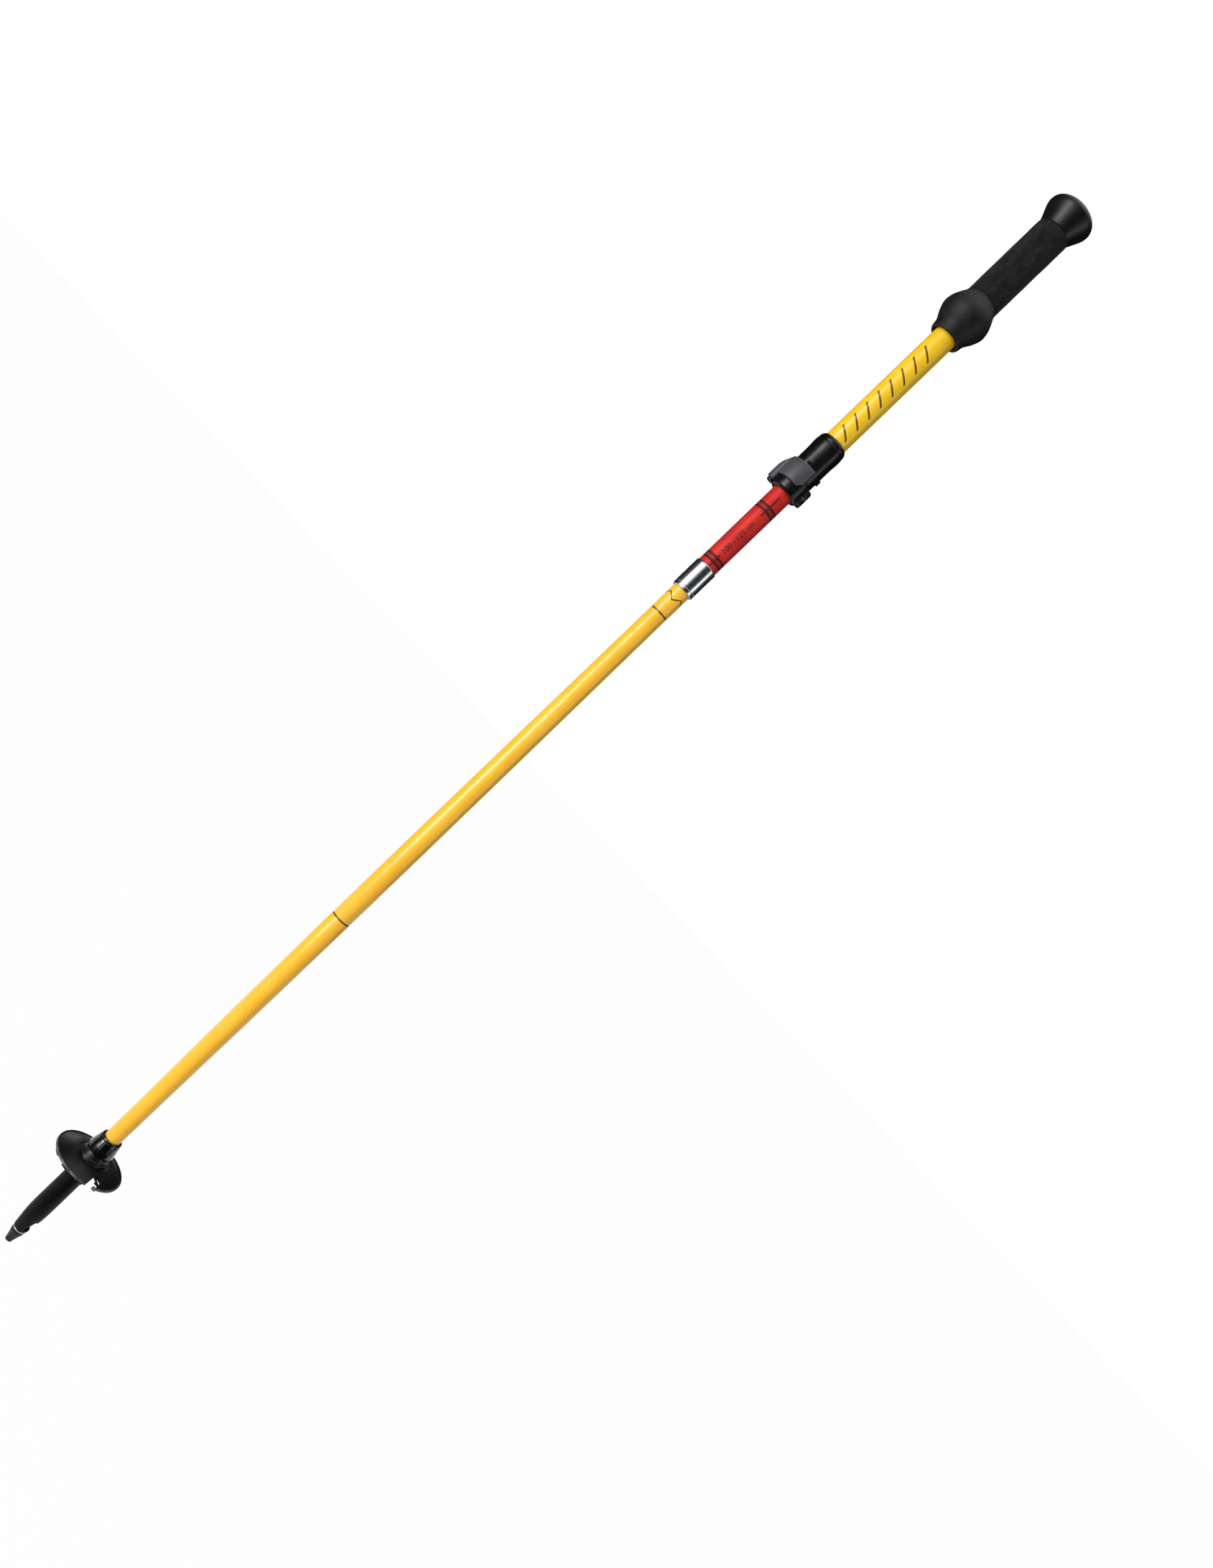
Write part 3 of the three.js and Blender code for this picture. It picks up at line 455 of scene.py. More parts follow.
def closed_cell_foam(name):
    """Skinned closed-cell foam: small round cells with painted shade darkening their pits, softer patches and
    handling marks.
    """
    finish = Finish(name)
    cells = finish.cells(0.85)
    fine = finish.grain(0.35, 4)
    patches = finish.grain(5.5, 5, stretch=(1, 1, 0.7), rough=0.6)
    marks = finish.step(finish.grain(2.2, 5, stretch=(1, 1, 0.45), rough=0.7, shift=0.8), 0.54, 0.72)
    colour = finish.tint(finish.step(patches, 0.35, 0.68), paint(12, 12, 13), paint(27, 27, 28))
    colour = finish.tint(marks * 0.55, colour, paint(56, 56, 58))
    # the cell centres, the low pits of the relief, are darkened: painted shade in the pits
    colour = finish.tint(0.6 + finish.step(cells, 0.1, 0.42) * 0.4, paint(5, 5, 6), colour)
    relief = cells * 0.8 + fine * 0.4 + patches * 0.8 - marks * 0.3
    roughness = 0.82 + fine * 0.14 - marks * 0.08
    fixed = {"Sheen Weight": 0.04, "Sheen Roughness": 0.5, "Specular IOR Level": 0.2}
    return finish.surface(colour, roughness.held(), relief, 0.16, fixed)


def soft_rubber(name):
    """Matt moulded rubber with a bloom and fine pores."""
    finish = Finish(name)
    pores = finish.cells(0.6)
    bloom = finish.grain(7, 4)
    dust = finish.step(finish.grain(1.4, 5, rough=0.7, shift=0.2), 0.58, 0.74)
    colour = finish.tint(finish.step(bloom, 0.35, 0.7), paint(14, 14, 15), paint(24, 23, 25))
    colour = finish.tint(dust * 0.25, colour, paint(46, 45, 46))
    roughness = 0.5 + bloom * 0.14 + dust * 0.12
    relief = pores * 0.5 + bloom * 0.6
    return finish.surface(colour, roughness, relief, 0.03, {"Specular IOR Level": 0.3})


def metal(name, main, deep, roughness, lines, stretch, depth=0.006):
    """Bare metal with fine machining or drawing lines, faint stains and small scratches."""
    finish = Finish(name)
    tooled = finish.grain(lines, 4, stretch=stretch, rough=0.6)
    stains = finish.grain(6, 4, shift=0.6)
    scratch = finish.step(finish.grain(0.8, 5, stretch=(1, 1, 0.1), rough=0.75, shift=0.2), 0.63, 0.74)
    colour = finish.tint(finish.step(stains, 0.4, 0.75) * 0.5 + scratch * 0.25, main, deep)
    rough = roughness + tooled * 0.08 + stains * 0.06 + scratch * 0.15
    relief = tooled * 0.8 - scratch * 0.5
    return finish.surface(colour, rough, relief, depth, {"Metallic": 1.0})


def braided_cover(name):
    """A braided cord cover: two crossing sets of strands, with painted shade darkening the low parts of the
    weave.
    """
    finish = Finish(name)
    angle = finish.node("ShaderNodeMath", {"operation": "ARCTAN2"}, {0: finish.y, 1: finish.x})
    left = finish.node("ShaderNodeMath", {"operation": "SINE"}, {0: angle * 8.0 + finish.z * 5200.0})
    right = finish.node("ShaderNodeMath", {"operation": "SINE"}, {0: angle * 8.0 - finish.z * 5200.0})
    weave = left * right * 0.5 + 0.5
    fuzz = finish.grain(0.25, 4)
    # the colour follows the weave's relief, darker where it is low: painted shade between the strands
    colour = finish.tint(weave, paint(24, 24, 26), paint(52, 52, 56))
    colour = finish.tint(finish.step(fuzz, 0.55, 0.7) * 0.3, colour, paint(84, 84, 88))
    return finish.surface(colour, 0.72 + fuzz * 0.2, weave + fuzz * 0.3, 0.1)


# the seams given here are darkened with painted shade at the two fold seams
yellow_enamel = painted_tube(
    "yellow_enamel", paint(252, 187, 42), paint(190, 134, 20), paint(253, 195, 58),
    rubbed=((111, 124), (312, 333), (618, 640)), seams=((321.8, 323.2), (628.3, 629.7)), marks=zigzag_ring,
)
lemon_enamel = painted_tube(
    "lemon_enamel", paint(243, 194, 26), paint(176, 136, 16), paint(247, 203, 46),
    rubbed=((798, 806), (894, 903)), marks=slanted_strokes,
)
red_anodising = anodised("red_anodising")
black_moulding = moulded("black_moulding", paint(12, 12, 13), paint(30, 30, 32))
# rim=26.6 lightens the dish's outer rim: a painted highlight mixed with edge wear
basket_moulding = moulded(
    "basket_moulding", paint(10, 10, 11), paint(26, 26, 28), roughness=0.3, pores=0.7, rim=26.6,
)
tip_moulding = moulded(
    "tip_moulding", paint(7, 7, 8), paint(20, 20, 21), roughness=0.42, seam=True, gloss=0.14,
)
lock_moulding = moulded("lock_moulding", paint(9, 9, 10), paint(25, 25, 27), roughness=0.26, pores=0.6)
cap_moulding = moulded(
    "cap_moulding", paint(11, 11, 12), paint(27, 27, 28), roughness=0.36, pores=0.8, depth=0.03,
)
gloss_moulding = moulded(
    "gloss_moulding", paint(7, 7, 8), paint(18, 18, 20), roughness=0.14, pores=1.4, depth=0.006, coat=0.8,
)
grey_moulding = moulded("grey_moulding", paint(64, 63, 68), paint(88, 87, 93), roughness=0.42)
grip_foam_skin = closed_cell_foam("grip_foam_skin")
grip_rubber_skin = soft_rubber("grip_rubber_skin")
polished_metal = metal(
    "polished_metal", paint(216, 219, 226), paint(170, 174, 184), 0.2, 0.5, (1, 1, 14), 0.0003,
)
dark_grey_moulding = moulded(
    "dark_grey_moulding", paint(28, 28, 30), paint(48, 48, 51), roughness=0.36, gloss=0.2,
)
bright_steel = metal("bright_steel", paint(188, 190, 194), paint(140, 142, 146), 0.24, 0.35, (1, 1, 8))
dark_steel = metal("dark_steel", paint(96, 96, 100), paint(60, 60, 64), 0.32, 0.3, (1, 1, 6))
bare_aluminium = metal("bare_aluminium", paint(200, 203, 208), paint(160, 163, 170), 0.3, 0.5, (1, 1, 0.05))
white_nylon = moulded("white_nylon", paint(206, 204, 196), paint(228, 226, 220), roughness=0.5, pores=0.8)
cord_braid = braided_cover("cord_braid")
black_print = moulded("black_print", paint(40, 14, 17), paint(66, 24, 26), roughness=0.4, depth=0.004)


# ---- camera, floor and light ----
def set_camera():
    """The long axis of the picture is upright; the pole runs from low left to high right."""
    lean = math.radians(43.9)
    right = Vector((math.sin(lean), 0, math.cos(lean)))
    up = Vector((-math.cos(lean), 0, math.sin(lean)))
    back = right.cross(up)
    camera = bpy.data.cameras.new("camera")
    camera.lens = 27.2
    camera.sensor_width = 36
    camera.clip_start = 0.01
    eye = bpy.data.objects.new("camera", camera)
    scene.collection.objects.link(eye)
    turn = Matrix((right, up, back)).transposed().to_4x4()
    eye.matrix_world = Matrix.Translation((0.0605, -0.825, TIP + 0.5203)) @ turn
    scene.camera = eye


def set_world():
    """Soft even light all round, and plain white where the world is seen directly."""
    world = bpy.data.worlds.new("studio")
    world.use_nodes = True
    scene.world = world
    nodes = Nodes(world.node_tree)
    ambient = nodes.node("ShaderNodeBackground", None, {"Color": (1, 1, 1, 1), "Strength": 0.38})
    white = nodes.node("ShaderNodeBackground", None, {"Color": (1, 1, 1, 1), "Strength": 1.0})
    either = nodes.node("ShaderNodeMixShader", None, {0: nodes.seen_directly(), 1: ambient, 2: white})
    nodes.node("ShaderNodeOutputWorld", None, {"Surface": either})


def set_floor():
    """A wide pale floor, low enough for the pole drawn out with both fold joints pulled open."""
    shape = bmesh.new()
    bmesh.ops.create_grid(shape, x_segments=2, y_segments=2, size=20)
    drawn_out = 0.2
    bmesh.ops.translate(shape, vec=(0, 0, TIP - drawn_out), verts=shape.verts)
    mesh = bpy.data.meshes.new("floor")
    shape.to_mesh(mesh)
    shape.free()
    floor = bpy.data.objects.new("floor", mesh)
    scene.collection.objects.link(floor)
    material = bpy.data.materials.new("floor_paper")
    material.use_nodes = True
    nodes = Nodes(material.node_tree)
    paper = nodes.node("ShaderNodeBsdfDiffuse", None, {"Color": (0.9, 0.9, 0.9, 1)})
    white = nodes.node("ShaderNodeEmission", None, {"Strength": 1.0})
    share = nodes.seen_directly() * 0.97
    both = nodes.node("ShaderNodeMixShader", None, {0: share, 1: paper, 2: white})
    nodes.node("ShaderNodeOutputMaterial", None, {"Surface": both})
    mesh.materials.append(material)


def lamp(name, width, height, power, spot, towards):
    light = bpy.data.lights.new(name, "AREA")
    light.shape = "RECTANGLE"
    light.size = width
    light.size_y = height
    light.energy = power
    body = bpy.data.objects.new(name, light)
    scene.collection.objects.link(body)
    spot = Vector(spot)
    facing = (Vector(towards) - spot).to_track_quat("-Z", "Y").to_matrix().to_4x4()
    body.matrix_world = Matrix.Translation(spot) @ facing
    body.visible_camera = False
    return body


def dark_card(name, width, height, spot, towards):
    """A black card that only reflections see, which gives polished metal its dark bands."""
    shape = bmesh.new()
    bmesh.ops.create_grid(shape, x_segments=1, y_segments=1, size=0.5)
    bmesh.ops.scale(shape, vec=(width, height, 1), verts=shape.verts)
    spot = Vector(spot)
    facing = (Vector(towards) - spot).to_track_quat("Z", "Y").to_matrix().to_4x4()
    bmesh.ops.transform(shape, matrix=Matrix.Translation(spot) @ facing, verts=shape.verts)
    mesh = bpy.data.meshes.new(name)
    shape.to_mesh(mesh)
    shape.free()
    material = bpy.data.materials.new(name)
    material.use_nodes = True
    nodes = Nodes(material.node_tree)
    black = nodes.node("ShaderNodeEmission", None, {"Color": (0.012, 0.012, 0.013, 1)})
    nodes.node("ShaderNodeOutputMaterial", None, {"Surface": black})
    mesh.materials.append(material)
    card = bpy.data.objects.new(name, mesh)
    scene.collection.objects.link(card)
    card.visible_camera = False
    card.visible_diffuse = False
    card.visible_shadow = False


def set_lights():
    middle = (0, 0, TIP + 0.52)
    lamp("key", 0.6, 1.3, 17, (-1.0, -1.2, TIP + 0.68), middle)
    lamp("low", 0.4, 0.5, 3.2, (-0.75, -1.0, TIP + 0.32), (0, 0, TIP + 0.1))
    lamp("fill", 0.26, 1.3, 2, (1.59, -0.46, TIP + 0.7), middle)
    lamp("back", 0.9, 1.2, 5, (-0.3, 1.6, TIP + 0.9), middle)
    lamp("top", 0.9, 0.9, 4, (0.0, -0.3, TIP + 2.3), middle)
    dark_card("front_card", 2.4, 2.9, (0.82, -1.55, TIP + 1.0), middle)
    dark_card("left_card", 3.0, 2.9, (-1.45, 0.39, TIP + 1.0), middle)
    dark_card("right_card", 1.95, 2.9, (1.34, 0.68, TIP + 1.0), middle)
    dark_card("back_card", 1.75, 2.9, (0.0, 1.5, TIP + 1.0), middle)
    dark_card("floor_card", 2.4, 1.9, (0.0, -1.0, TIP - 0.0002), (0.0, -1.0, TIP + 1))


# ---- tip ----
def make_tip():
    foot, top = span("carbide_tip")
    insert = lathe([
        (0, 1.5), (1.15, 0.35, 0.3), (1.5, foot, 0.1), (1.9, foot + 0.6, 0.15), (1.9, top), (0, top),
    ], 72)
    teeth = [
        block((-3, 3), (-0.3, 0.3), (foot - 1, foot + 0.7), turn=turn, softness=0.0)
        for turn in (0, 60, 120)
    ]
    insert = carve(insert, *[("DIFFERENCE", tooth) for tooth in teeth])
    place("tip_insert", insert, "lower", "dark_steel", dark_steel, "carbide_tip")

    foot, top = span("tip_cone")
    wide = reach("tip_cone")
    place("tip_nose", lathe([
        (2.2, foot, 0.1), (2.6, foot, 0.2), (3.0, foot + 2.2, 1.0), (4.45, top - 3.0, 1.5),
        (4.7, top - 2.6, 0.3), (4.55, top - 2.2, 0.2), (4.9, top - 1.9, 0.2), (wide, top, 0.25),
        (0, top), (0, 7.3), (2.2, 7.3),
    ]), "lower", "grey_plastic", dark_grey_moulding, "tip_cone")

    foot, top = span("tip_ring")
    wide = reach("tip_ring")
    place("tip_washer", lathe([(0, foot), (wide, foot, 0.3), (wide, top, 0.3), (0, top)]),
          "lower", "steel", bright_steel, "tip_ring")

    foot, top = span("tip_body")
    wide = reach("tip_body")
    body = lathe([
        (0, foot), (5.5, foot, 0.4), (wide - 0.3, foot + 13, 3), (wide, foot + 21, 3), (wide, top, 0.4),
        (6.2, top, 0.2), (6.2, foot + 30), (0, foot + 30),
    ], 112)
    slant = block((-3, 3), (-10, 10), (-4.7, 4.7), foot=0)
    tipped = Matrix.Rotation(math.radians(14), 3, "Y")
    bmesh.ops.rotate(slant, cent=(0, 0, 0), matrix=tipped, verts=slant.verts)
    bmesh.ops.translate(slant, vec=(7.45 * MM, 0, TIP + (foot + 6.1) * MM), verts=slant.verts)
    body = carve(body, ("DIFFERENCE", slant))
    place("tip_shank", body, "lower", "black_plastic", tip_moulding, "tip_body", rounded=0.2)


# ---- basket ----
def make_basket():
    foot, top = span("basket")
    wide = reach("basket")
    rim = foot + 4.5
    bore = reach("tip_body") + 0.3
    dish = lathe([
        (bore, rim - 1.3), (bore + 1.4, rim - 1.3, 0.3), (bore + 4.4, rim + 2.1, 1.5), (19, rim + 0.8, 4),
        (wide - 0.9, rim - 1.6, 0.5), (wide, rim - 1.3, 0.3),
        (wide, rim + 0.1, 0.4), (wide - 0.9, rim + 0.45, 0.4),
        (wide - 1.5, rim - 0.1, 0.3), (22, rim + 1.75, 5), (17, rim + 3.3, 4), (13.0, rim + 4.2, 0.8),
        (12.4, rim + 3.8, 0.2), (11.2, rim + 3.9, 0.2), (10.9, rim + 6.2, 0.4), (10.2, rim + 6.5, 0.3),
        (9.9, rim + 8.0, 0.4),
        (bore + 1.6, top, 0.4), (bore, top, 0.2),
    ], 160)
    lugs = []
    for number in range(12):
        turn = (number + 0.5) * 30
        if number != 10:
            stud = block((wide - 3.0, wide - 1.2), (-3, 3), (foot + 1.5, rim - 0.9), softness=0.3, turn=turn)
            lugs.append(stud)
    ribs = []
    for turn in (-86, -62, -38, -14, 10, 34, 58, 82, 106, 130, 154, 178, 202, 226, 250):
        ribs.append(block((10.5, 26.5), (-0.45, 0.45), (rim - 1.9, rim - 0.5), softness=0.15, turn=turn))
    notch = block((11.4, 17.4), (-30, 15 - wide), (rim - 10, rim + 10), softness=1.2)
    hooks = [
        block((15.6, 19.0), (-21.6, -19.8), (rim - 1.6, rim + 0.5), softness=0.35),
        block((14.2, 18.0), (-17.2, -15.8), (rim - 0.2, rim + 1.4), softness=0.35),
    ]
    dish = carve(
        dish, ("UNION", gathered(*lugs)), ("UNION", gathered(*ribs)), ("DIFFERENCE", notch),
        ("UNION", gathered(*hooks)),
    )
    place("basket_dish", dish, "lower", "black_plastic", basket_moulding, "basket", sharp=34)

    foot, top = span("basket_collar")
    wide = reach("basket_collar")
    bore = 6.5
    place("basket_nut", lathe([
        (bore, foot, 0.1), (wide - 0.4, foot, 0.3), (wide, foot + 1.0, 0.5), (wide - 0.45, foot + 3.6, 1.5),
        (wide - 1.35, foot + 7.4, 2), (wide - 2.05, top - 1.9, 0.5), (wide - 2.35, top - 1.7, 0.15),
        (wide - 2.35, top - 1.35, 0.15), (wide - 2.15, top - 1.15, 0.2), (wide - 2.3, top - 0.5, 0.3),
        (wide - 2.8, top, 0.3), (bore, top, 0.2),
    ], 128), "lower", "gloss_black", gloss_moulding, "basket_collar")


# ---- tubes ----
def make_tubes():
    foot, top = span("lower_tube")
    wide = reach("lower_tube")
    taper = span("basket_collar")[1] + 10
    place("lower_shaft", lathe([
        (5.0, foot), (5.9, foot, 0.2), (5.9, span("basket_collar")[0] - 0.3),
        (6.2, span("basket_collar")[0] - 0.3),
        (6.2, taper, 30), (wide, taper + 138.1, 30), (wide, top, 0.45), (wide - 0.9, top, 0.2),
        (wide - 0.9, taper + 138.1), (5.0, taper),
    ], 112), "lower", "yellow_paint", yellow_enamel, "lower_tube")

    foot, top = span("middle_tube")
    wide = reach("middle_tube")
    knee = foot + (top - foot) * 0.4
    place("middle_shaft", lathe([
        (wide - 0.9, foot, 0.2), (wide, foot, 0.45), (wide, knee, 50), (7.0, top, 0.45), (6.1, top, 0.2),
        (wide - 0.9, knee),
    ], 112), "middle", "yellow_paint", yellow_enamel, "middle_tube")

    foot, top = span("joint_stub")
    wide = reach("joint_stub")
    place("upper_stub", lathe([
        (wide - 0.9, foot, 0.2), (wide, foot, 0.45), (wide, top, 0.2), (wide - 0.9, top, 0.2),
    ], 112), "extension", "yellow_paint", yellow_enamel, "joint_stub")

    foot, top = span("adjusting_tube")
    wide = reach("adjusting_tube")
    place("adjusting_shaft", lathe([
        (wide - 0.9, foot, 0.2), (wide, foot, 0.35), (wide, top, 0.35), (wide - 0.9, top, 0.2),
    ], 128), "extension", "red_anodised", red_anodising, "adjusting_tube")

    foot, top = span("upper_tube")
    wide = reach("upper_tube")
    place("upper_shaft", lathe([
        (wide - 0.65, foot, 0.15), (wide, foot, 0.2), (wide, top, 0.2), (wide - 0.65, top, 0.15),
    ], 128), "handle", "yellow_paint", lemon_enamel, "upper_tube")


def make_sleeve():
    foot, top = span("joint_sleeve")
    wide = reach("joint_sleeve")
    edge = foot + 24
    button = sum(span("release_button")) / 2
    sleeve = lathe([
        (7.4, foot, 0.15), (wide - 0.35, foot, 0.3), (wide, foot + 0.7, 0.5), (wide, foot + 2.6, 0.1),
        (wide - 0.18, foot + 2.8, 0.1), (wide - 0.18, foot + 3.2, 0.1), (wide, foot + 3.4, 0.1),
        (wide, edge - 0.7, 0.5), (wide - 0.35, edge, 0.3), (6.8, edge), (6.8, top, 0.3), (2.55, top, 0.2),
        (2.55, edge), (6.2, edge), (6.2, foot + 6), (7.4, foot + 6),
    ], 144)
    hole = across([(0, 2), (2.7, 2), (2.7, 12), (0, 12)], 0, button)
    sleeve = carve(sleeve, ("DIFFERENCE", hole))
    place("sleeve_shell", sleeve, "extension", "polished_sleeve", polished_metal, "joint_sleeve",
          sharp=30, rounded=0.12)

    low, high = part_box("release_button")
    near, far = low[1] / MM, high[1] / MM
    head = across([
        (0, near), (2.8, near, 0.1), (2.8, near + 0.7, 0.1), (2.4, near + 0.7), (2.4, far, 0.3),
        (1.7, far, 0.4), (1.3, far - 0.3, 0.4), (0, far - 0.4),
    ], 0, button, 64)
    place("sleeve_button", head, "button", "black_plastic", black_moulding, "release_button")


# ---- lever lock ----
def make_lock():
    collar_foot, neck_top = span("lock_collar")
    top = span("lock_body")[1]
    shoulder = neck_top + 0.3
    pin_x = (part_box("lever_pin")[0][0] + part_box("lever_pin")[1][0]) / 2 / MM
    lug_top = shoulder + 4
    socket = reach("upper_tube") + 0.3
    red_bore = 8.3
    housing = lathe([
        (red_bore, collar_foot + 1.9), (9.9, collar_foot + 1.9, 0.2), (9.9, shoulder), (11.4, shoulder, 0.5),
        (11.4, top - 14, 2), (11.75, top - 10, 1.5), (11.75, top - 5.4, 1.2), (11.35, top - 4.4, 0.3),
        (11.5, top - 3.6, 0.3), (11.1, top - 1.6, 0.8), (10.0, top, 0.5), (socket, top, 0.2),
        (socket, shoulder + 3.7), (red_bore, shoulder + 3.7),
    ], 144)
    window = block((-10.9, -5), (-4.5, 4.5), (collar_foot + 3.2, neck_top - 1.7))
    cam_pocket = post(3.5, pin_x, 0, collar_foot, shoulder - 0.01)
    slit = block((5, 11.9), (-0.8, 0.8), (collar_foot, shoulder - 0.01))
    lug = post(2.9, pin_x, 0, shoulder, lug_top, softness=0.4)
    rib = block((9.4, 12.6), (-1.5, 1.5), (neck_top + 6.5, neck_top + 10.5), softness=0.4)
    nub_foot = span("lock_lever")[1] + 1
    nub = block((-3.8, -0.8), (-12.4, -9.9), (nub_foot, nub_foot + 2), softness=0.5)
    keep_bore = post(socket, 0, 0, shoulder + 1, top + 1, 144)
    pin_hole = post(1.5, pin_x, 0, collar_foot, lug_top - 1.2, 32)
    housing = carve(
        housing, ("DIFFERENCE", window), ("DIFFERENCE", cam_pocket), ("DIFFERENCE", slit),
        ("UNION", lug), ("UNION", rib), ("UNION", nub), ("DIFFERENCE", keep_bore), ("DIFFERENCE", pin_hole),
    )
    place("lock_housing", housing, "handle", "black_plastic", lock_moulding, "lock_body", rounded=0.15)

    collar = lathe([
        (10.2, collar_foot + 1.6), (red_bore, collar_foot + 1.6),
        (red_bore, collar_foot, 0.2), (11.0, collar_foot, 0.8),
        (12.2, collar_foot + 2.4, 1.0), (12.2, neck_top - 1.2, 0.5),
        (11.2, neck_top, 0.5), (10.2, neck_top, 0.1),
    ], 144)
    shelf = post(2.9, pin_x, 0, collar_foot, collar_foot + 1.6, softness=0.3)
    ear_foot, ear_top = collar_foot + 1.6, neck_top - 0.8
    ear_round = post(14.7, 0, 0, ear_foot, ear_top, 144, softness=0.8)
    ears = carve(
        block((7, 14.7), (-5.2, 5.2), (ear_foot, ear_top), softness=0.5), ("INTERSECT", ear_round),
        ("DIFFERENCE", post(10.2, 0, 0, collar_foot - 1, neck_top + 1, 144)),
    )
    screw_x, screw_z = 12.4, (ear_foot + ear_top) / 2
    sweep = post(4.5, pin_x, 0, collar_foot + 1.6, neck_top + 1)
    ear_slit = block((5, 16), (-0.8, 0.8), (collar_foot - 1, neck_top + 1))
    screw_hole = across([(0, -8), (1.6, -8), (1.6, 8), (0, 8)], screw_x, screw_z, 32)
    head_hole = across([(0, 3.6), (2.5, 3.6), (2.5, 8), (0, 8)], screw_x, screw_z, 48)
    nut_hole = across([(0, -8), (2.5, -8), (2.5, -3.6), (0, -3.6)], screw_x, screw_z, 6)
    shelf_hole = post(1.5, pin_x, 0, collar_foot + 0.6, neck_top, 32)
    clear_of_red = post(red_bore, 0, 0, collar_foot - 1, neck_top + 1, 144)
    collar = carve(
        collar, ("UNION", shelf), ("DIFFERENCE", clear_of_red), ("UNION", ears), ("DIFFERENCE", sweep),
        ("DIFFERENCE", ear_slit), ("DIFFERENCE", screw_hole), ("DIFFERENCE", head_hole),
        ("DIFFERENCE", nut_hole), ("DIFFERENCE", shelf_hole),
    )
    place("lock_band", collar, "handle", "black_plastic", lock_moulding, "lock_collar", rounded=0.12)

    # clamp screw with a hexagon socket
    screw = across([
        (0, -4.2), (1.3, -4.2, 0.3), (1.3, 3.9), (2.2, 3.9, 0.1), (2.2, 5.2, 0.3), (0, 5.2),
    ], screw_x, screw_z, 64)
    drive = across([(0, 4.4), (0.9, 4.4), (0.9, 7), (0, 7)], screw_x, screw_z, 6)
    screw = carve(screw, ("DIFFERENCE", drive))
    place("band_screw", screw, "clamp_screw", "dark_steel", dark_steel, "clamp_screw")

    make_lever(pin_x, neck_top)


def make_lever(pin_x, neck_top):
    """A cam round the pin, its skin, and a curved arm lying across the front of the housing."""
    low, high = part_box("lock_lever")
    foot, top = span("lock_lever")
    cam_radius = 3.2
    outer = -low[1] / MM
    inner = outer - 2.2
    outside = -low[0] / MM
    end = high[0] / MM
    arm_foot = top - 16.2
    arm = lathe([(inner, arm_foot), (outer, arm_foot, 0.5), (outer, top + 2), (inner, top + 2)], 160)
    # the cutting solids keep off each other's planes, so that every cut stays clean
    sector = block((pin_x + 0.11, end), (-outside - 1, -0.13), (arm_foot - 1, top + 3))
    corner = block((-3.2, 3.2), (-20, 0), (-3.2, 3.2), foot=0)
    tipped = Matrix.Rotation(math.radians(38), 3, "Y")
    bmesh.ops.rotate(corner, cent=(0, 0, 0), matrix=tipped, verts=corner.verts)
    bmesh.ops.translate(corner, vec=((end + 0.6) * MM, 0, TIP + (arm_foot - 0.6) * MM), verts=corner.verts)
    arm = carve(arm, ("INTERSECT", sector), ("DIFFERENCE", corner))
    skin = post(cam_radius + 1.0, pin_x, 0, foot + 0.35, top + 1.5, 64, softness=0.3)
    quarter = block((-outside - 1, pin_x + 0.83), (-outside, -0.057), (foot - 1, top + 3))
    skin = carve(skin, ("INTERSECT", quarter))
    clear_of_lug = post(cam_radius, pin_x, 0, neck_top, top + 1, 64)
    envelope = lathe([
        (0, foot - 2), (outside, foot - 2), (outside, top - 9, 3), (inner + 0.9, top), (0, top),
    ], 160)
    cam = post(cam_radius, pin_x, 0, foot, neck_top, 64, softness=0.15)
    pin_hole = post(1.5, pin_x, 0, foot - 1, top + 1, 32)
    lever = carve(
        arm, ("UNION", skin), ("DIFFERENCE", clear_of_lug), ("INTERSECT", envelope), ("UNION", cam),
        ("DIFFERENCE", pin_hole),
    )
    place("lock_arm", lever, "lever", "grey_plastic", grey_moulding, "lock_lever", rounded=0.4)


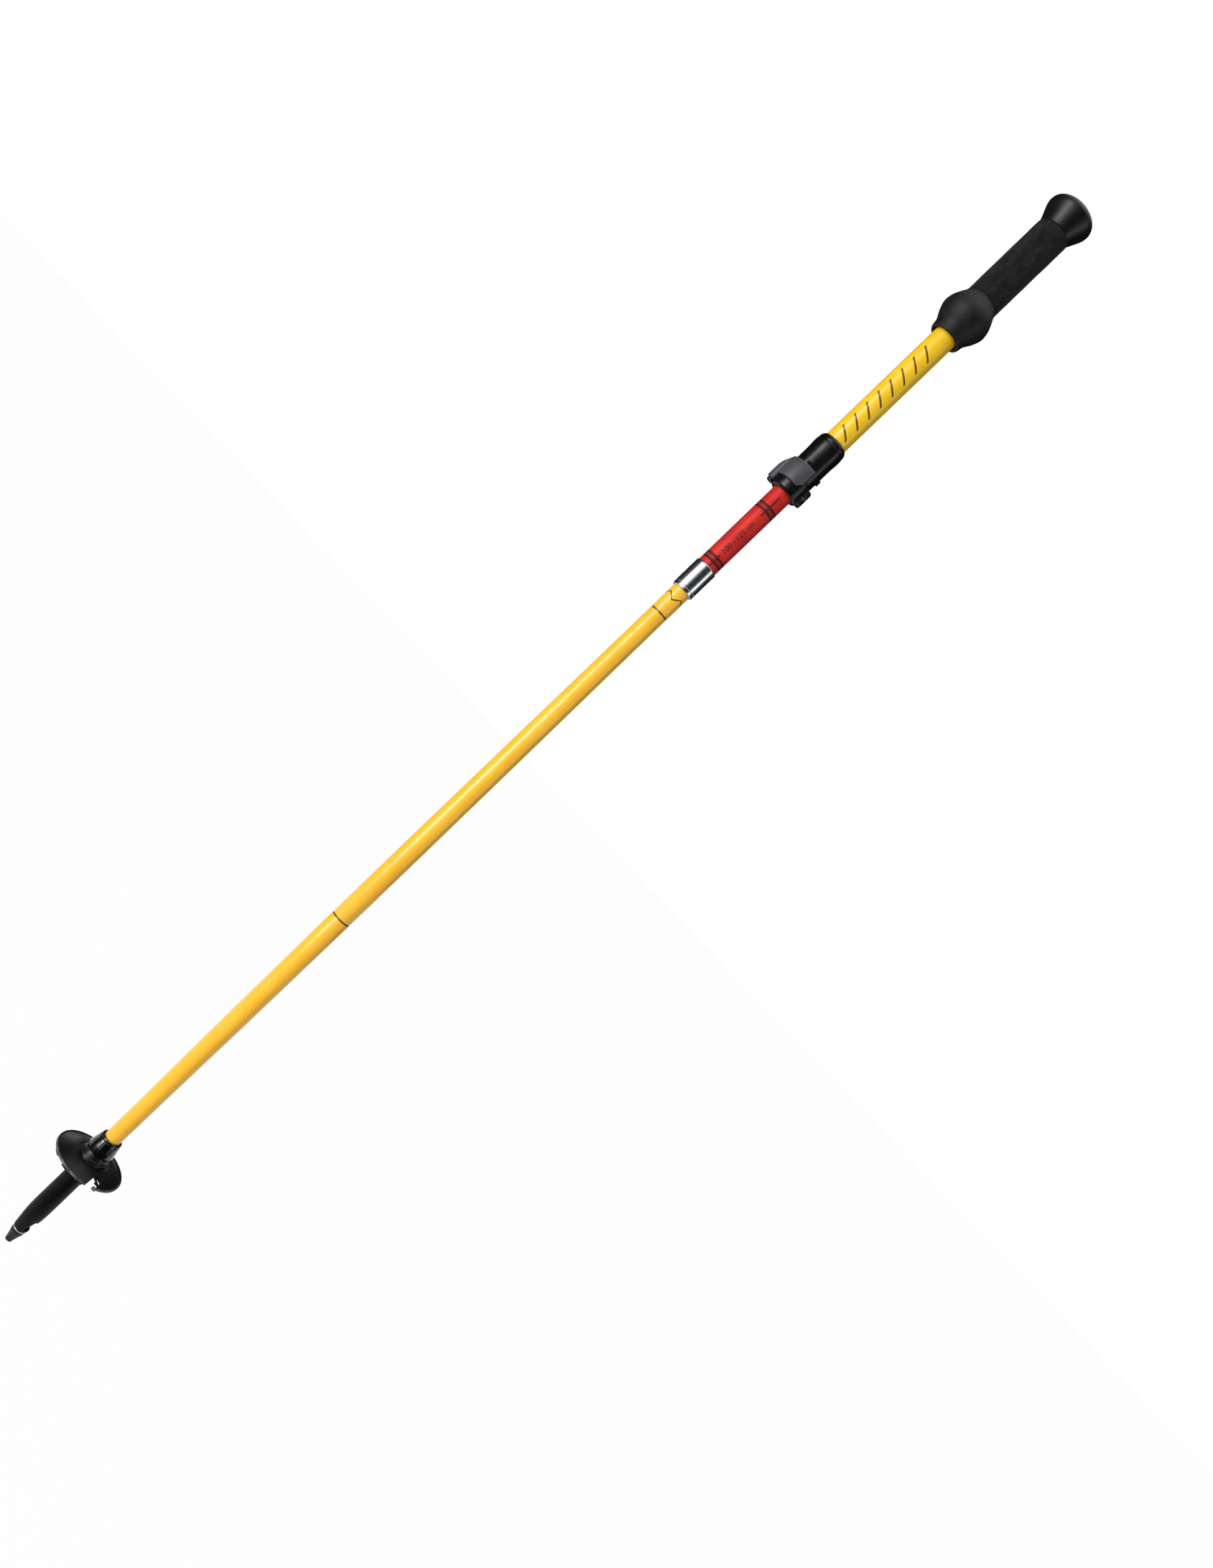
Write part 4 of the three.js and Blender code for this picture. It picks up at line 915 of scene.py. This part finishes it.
# ---- grip ----
def make_grip():
    bore = reach("upper_tube") + 0.3
    foot, top = span("grip_guard")
    place("guard_bulb", lathe([
        (bore, foot + 5.4, 0.3), (bore + 1.0, foot + 4.8, 0.3), (bore + 1.3, foot + 2.4, 0.4),
        (bore + 2.3, foot + 2.0, 0.5), (bore + 3.3, foot + 2.9, 0.9), (bore + 3.7, foot + 5.6, 2),
        (bore + 4.2, foot + 8.6, 2.5), (15.2, foot + 11.6, 2.5),
        (18.0, foot + 16.6, 4), (19.1, foot + 21.0, 4),
        (18.9, foot + 25.0, 4), (16.6, foot + 31.0, 4), (14.0, foot + 35.4, 2), (13.5, top, 0.5),
        (bore, top, 0.1),
    ], 160), "handle", "grip_rubber", grip_rubber_skin, "grip_guard")

    foot, top = span("grip_foam")
    wide = reach("grip_foam")
    foam = lathe([
        (bore, foot, 0.1), (wide, foot, 0.7), (wide, (foot + top) / 2), (wide, top, 0.9), (bore, top, 0.1),
    ], 160)
    upright = [edge for edge in foam.edges if abs(edge.verts[0].co.z - edge.verts[1].co.z) > 0.01]
    bmesh.ops.subdivide_edges(foam, edges=upright, cuts=24, use_grid_fill=True)
    for vert in foam.verts:
        out = Vector((vert.co.x, vert.co.y, 0))
        if out.length > (bore + 1) * MM:
            swell = noise.noise(vert.co * 90) * 0.14 + noise.noise(vert.co * 320) * 0.05 + 0.05
            vert.co += out.normalized() * swell * MM
    handle = place("foam_handle", foam, "handle", "foam", grip_foam_skin, "grip_foam")

    foot, top = span("grip_cap")
    wide = reach("grip_cap")
    place("top_cap", lathe([
        (bore, foot, 0.1), (13.0, foot, 0.5), (13.5, foot + 2.4, 1.2), (15.2, foot + 6.6, 3),
        (17.4, foot + 11.2, 3), (wide - 0.2, foot + 14.2, 1.2), (wide, foot + 16, 0.8),
        (wide - 0.5, foot + 18.6, 1.5), (wide - 3.4, foot + 21.2, 3), (wide - 9, top - 0.75, 5), (0, top),
        (0, foot + 11), (bore, foot + 11),
    ], 160), "handle", "black_plastic", cap_moulding, "grip_cap")


# ---- printed marks ----
def printed_number(name, text, size, radius, foot, x_offset, body, slot, finish):
    """Plain numerals laid round a tube on the camera's side, reading up the pole."""
    curve = bpy.data.curves.new(name, "FONT")
    curve.body = text
    curve.size = size * MM
    curve.align_y = "CENTER"
    curve.resolution_u = 3
    words = bpy.data.objects.new(name, curve)
    scene.collection.objects.link(words)
    bpy.context.view_layer.update()
    flat = words.evaluated_get(bpy.context.evaluated_depsgraph_get()).to_mesh()
    shape = bmesh.new()
    shape.from_mesh(flat)
    bpy.data.objects.remove(words)
    bpy.data.curves.remove(curve)
    bmesh.ops.remove_doubles(shape, verts=shape.verts, dist=1e-6)
    bmesh.ops.triangulate(shape, faces=shape.faces)
    bmesh.ops.subdivide_edges(shape, edges=shape.edges, cuts=4, use_grid_fill=True)
    for vert in shape.verts:
        turn = (x_offset * MM - vert.co.y) / (radius * MM)
        lift = (radius + 0.04) * MM
        vert.co = Vector((lift * math.sin(turn), -lift * math.cos(turn), TIP + foot * MM + vert.co.x))
    bmesh.ops.recalc_face_normals(shape, faces=shape.faces)
    for face in shape.faces:
        face.normal_update()
        if face.normal.dot(Vector((face.calc_center_median().x, face.calc_center_median().y, 0))) < 0:
            face.normal_flip()
    piece = place(name, shape, body, slot, finish)
    ink = piece.modifiers.new("ink", "SOLIDIFY")
    ink.thickness = 0.05 * MM
    ink.offset = -1


def make_prints():
    red = reach("adjusting_tube")
    foot = span("adjusting_tube")[0]
    printed_number(
        "printed_lengths", "100 - 125 cm", 5.6, red, foot + 13, 1.2, "extension", "red_anodised", black_print,
    )


# ---- CAD pieces that stay, with finer materials ----
def dress_inner_pieces():
    finishes = {
        "tube_plug": black_moulding,
        "lever_pin": bright_steel,
        "pressure_shoe": white_nylon,
        "clamp_nut": dark_steel,
        "guide_bush": white_nylon,
        "tension_spring": bright_steel,
        "button_spring": bright_steel,
        "middle_ferrule": bare_aluminium,
        "lower_ferrule": bare_aluminium,
        "tension_cord": cord_braid,
        "cord_anchor": white_nylon,
        "cord_stop": white_nylon,
    }
    for name, finish in finishes.items():
        for holder in bpy.data.objects[name].material_slots:
            holder.material = finish


set_camera()
set_world()
set_floor()
set_lights()
make_tip()
make_basket()
make_tubes()
make_sleeve()
make_lock()
make_grip()
make_prints()
dress_inner_pieces()
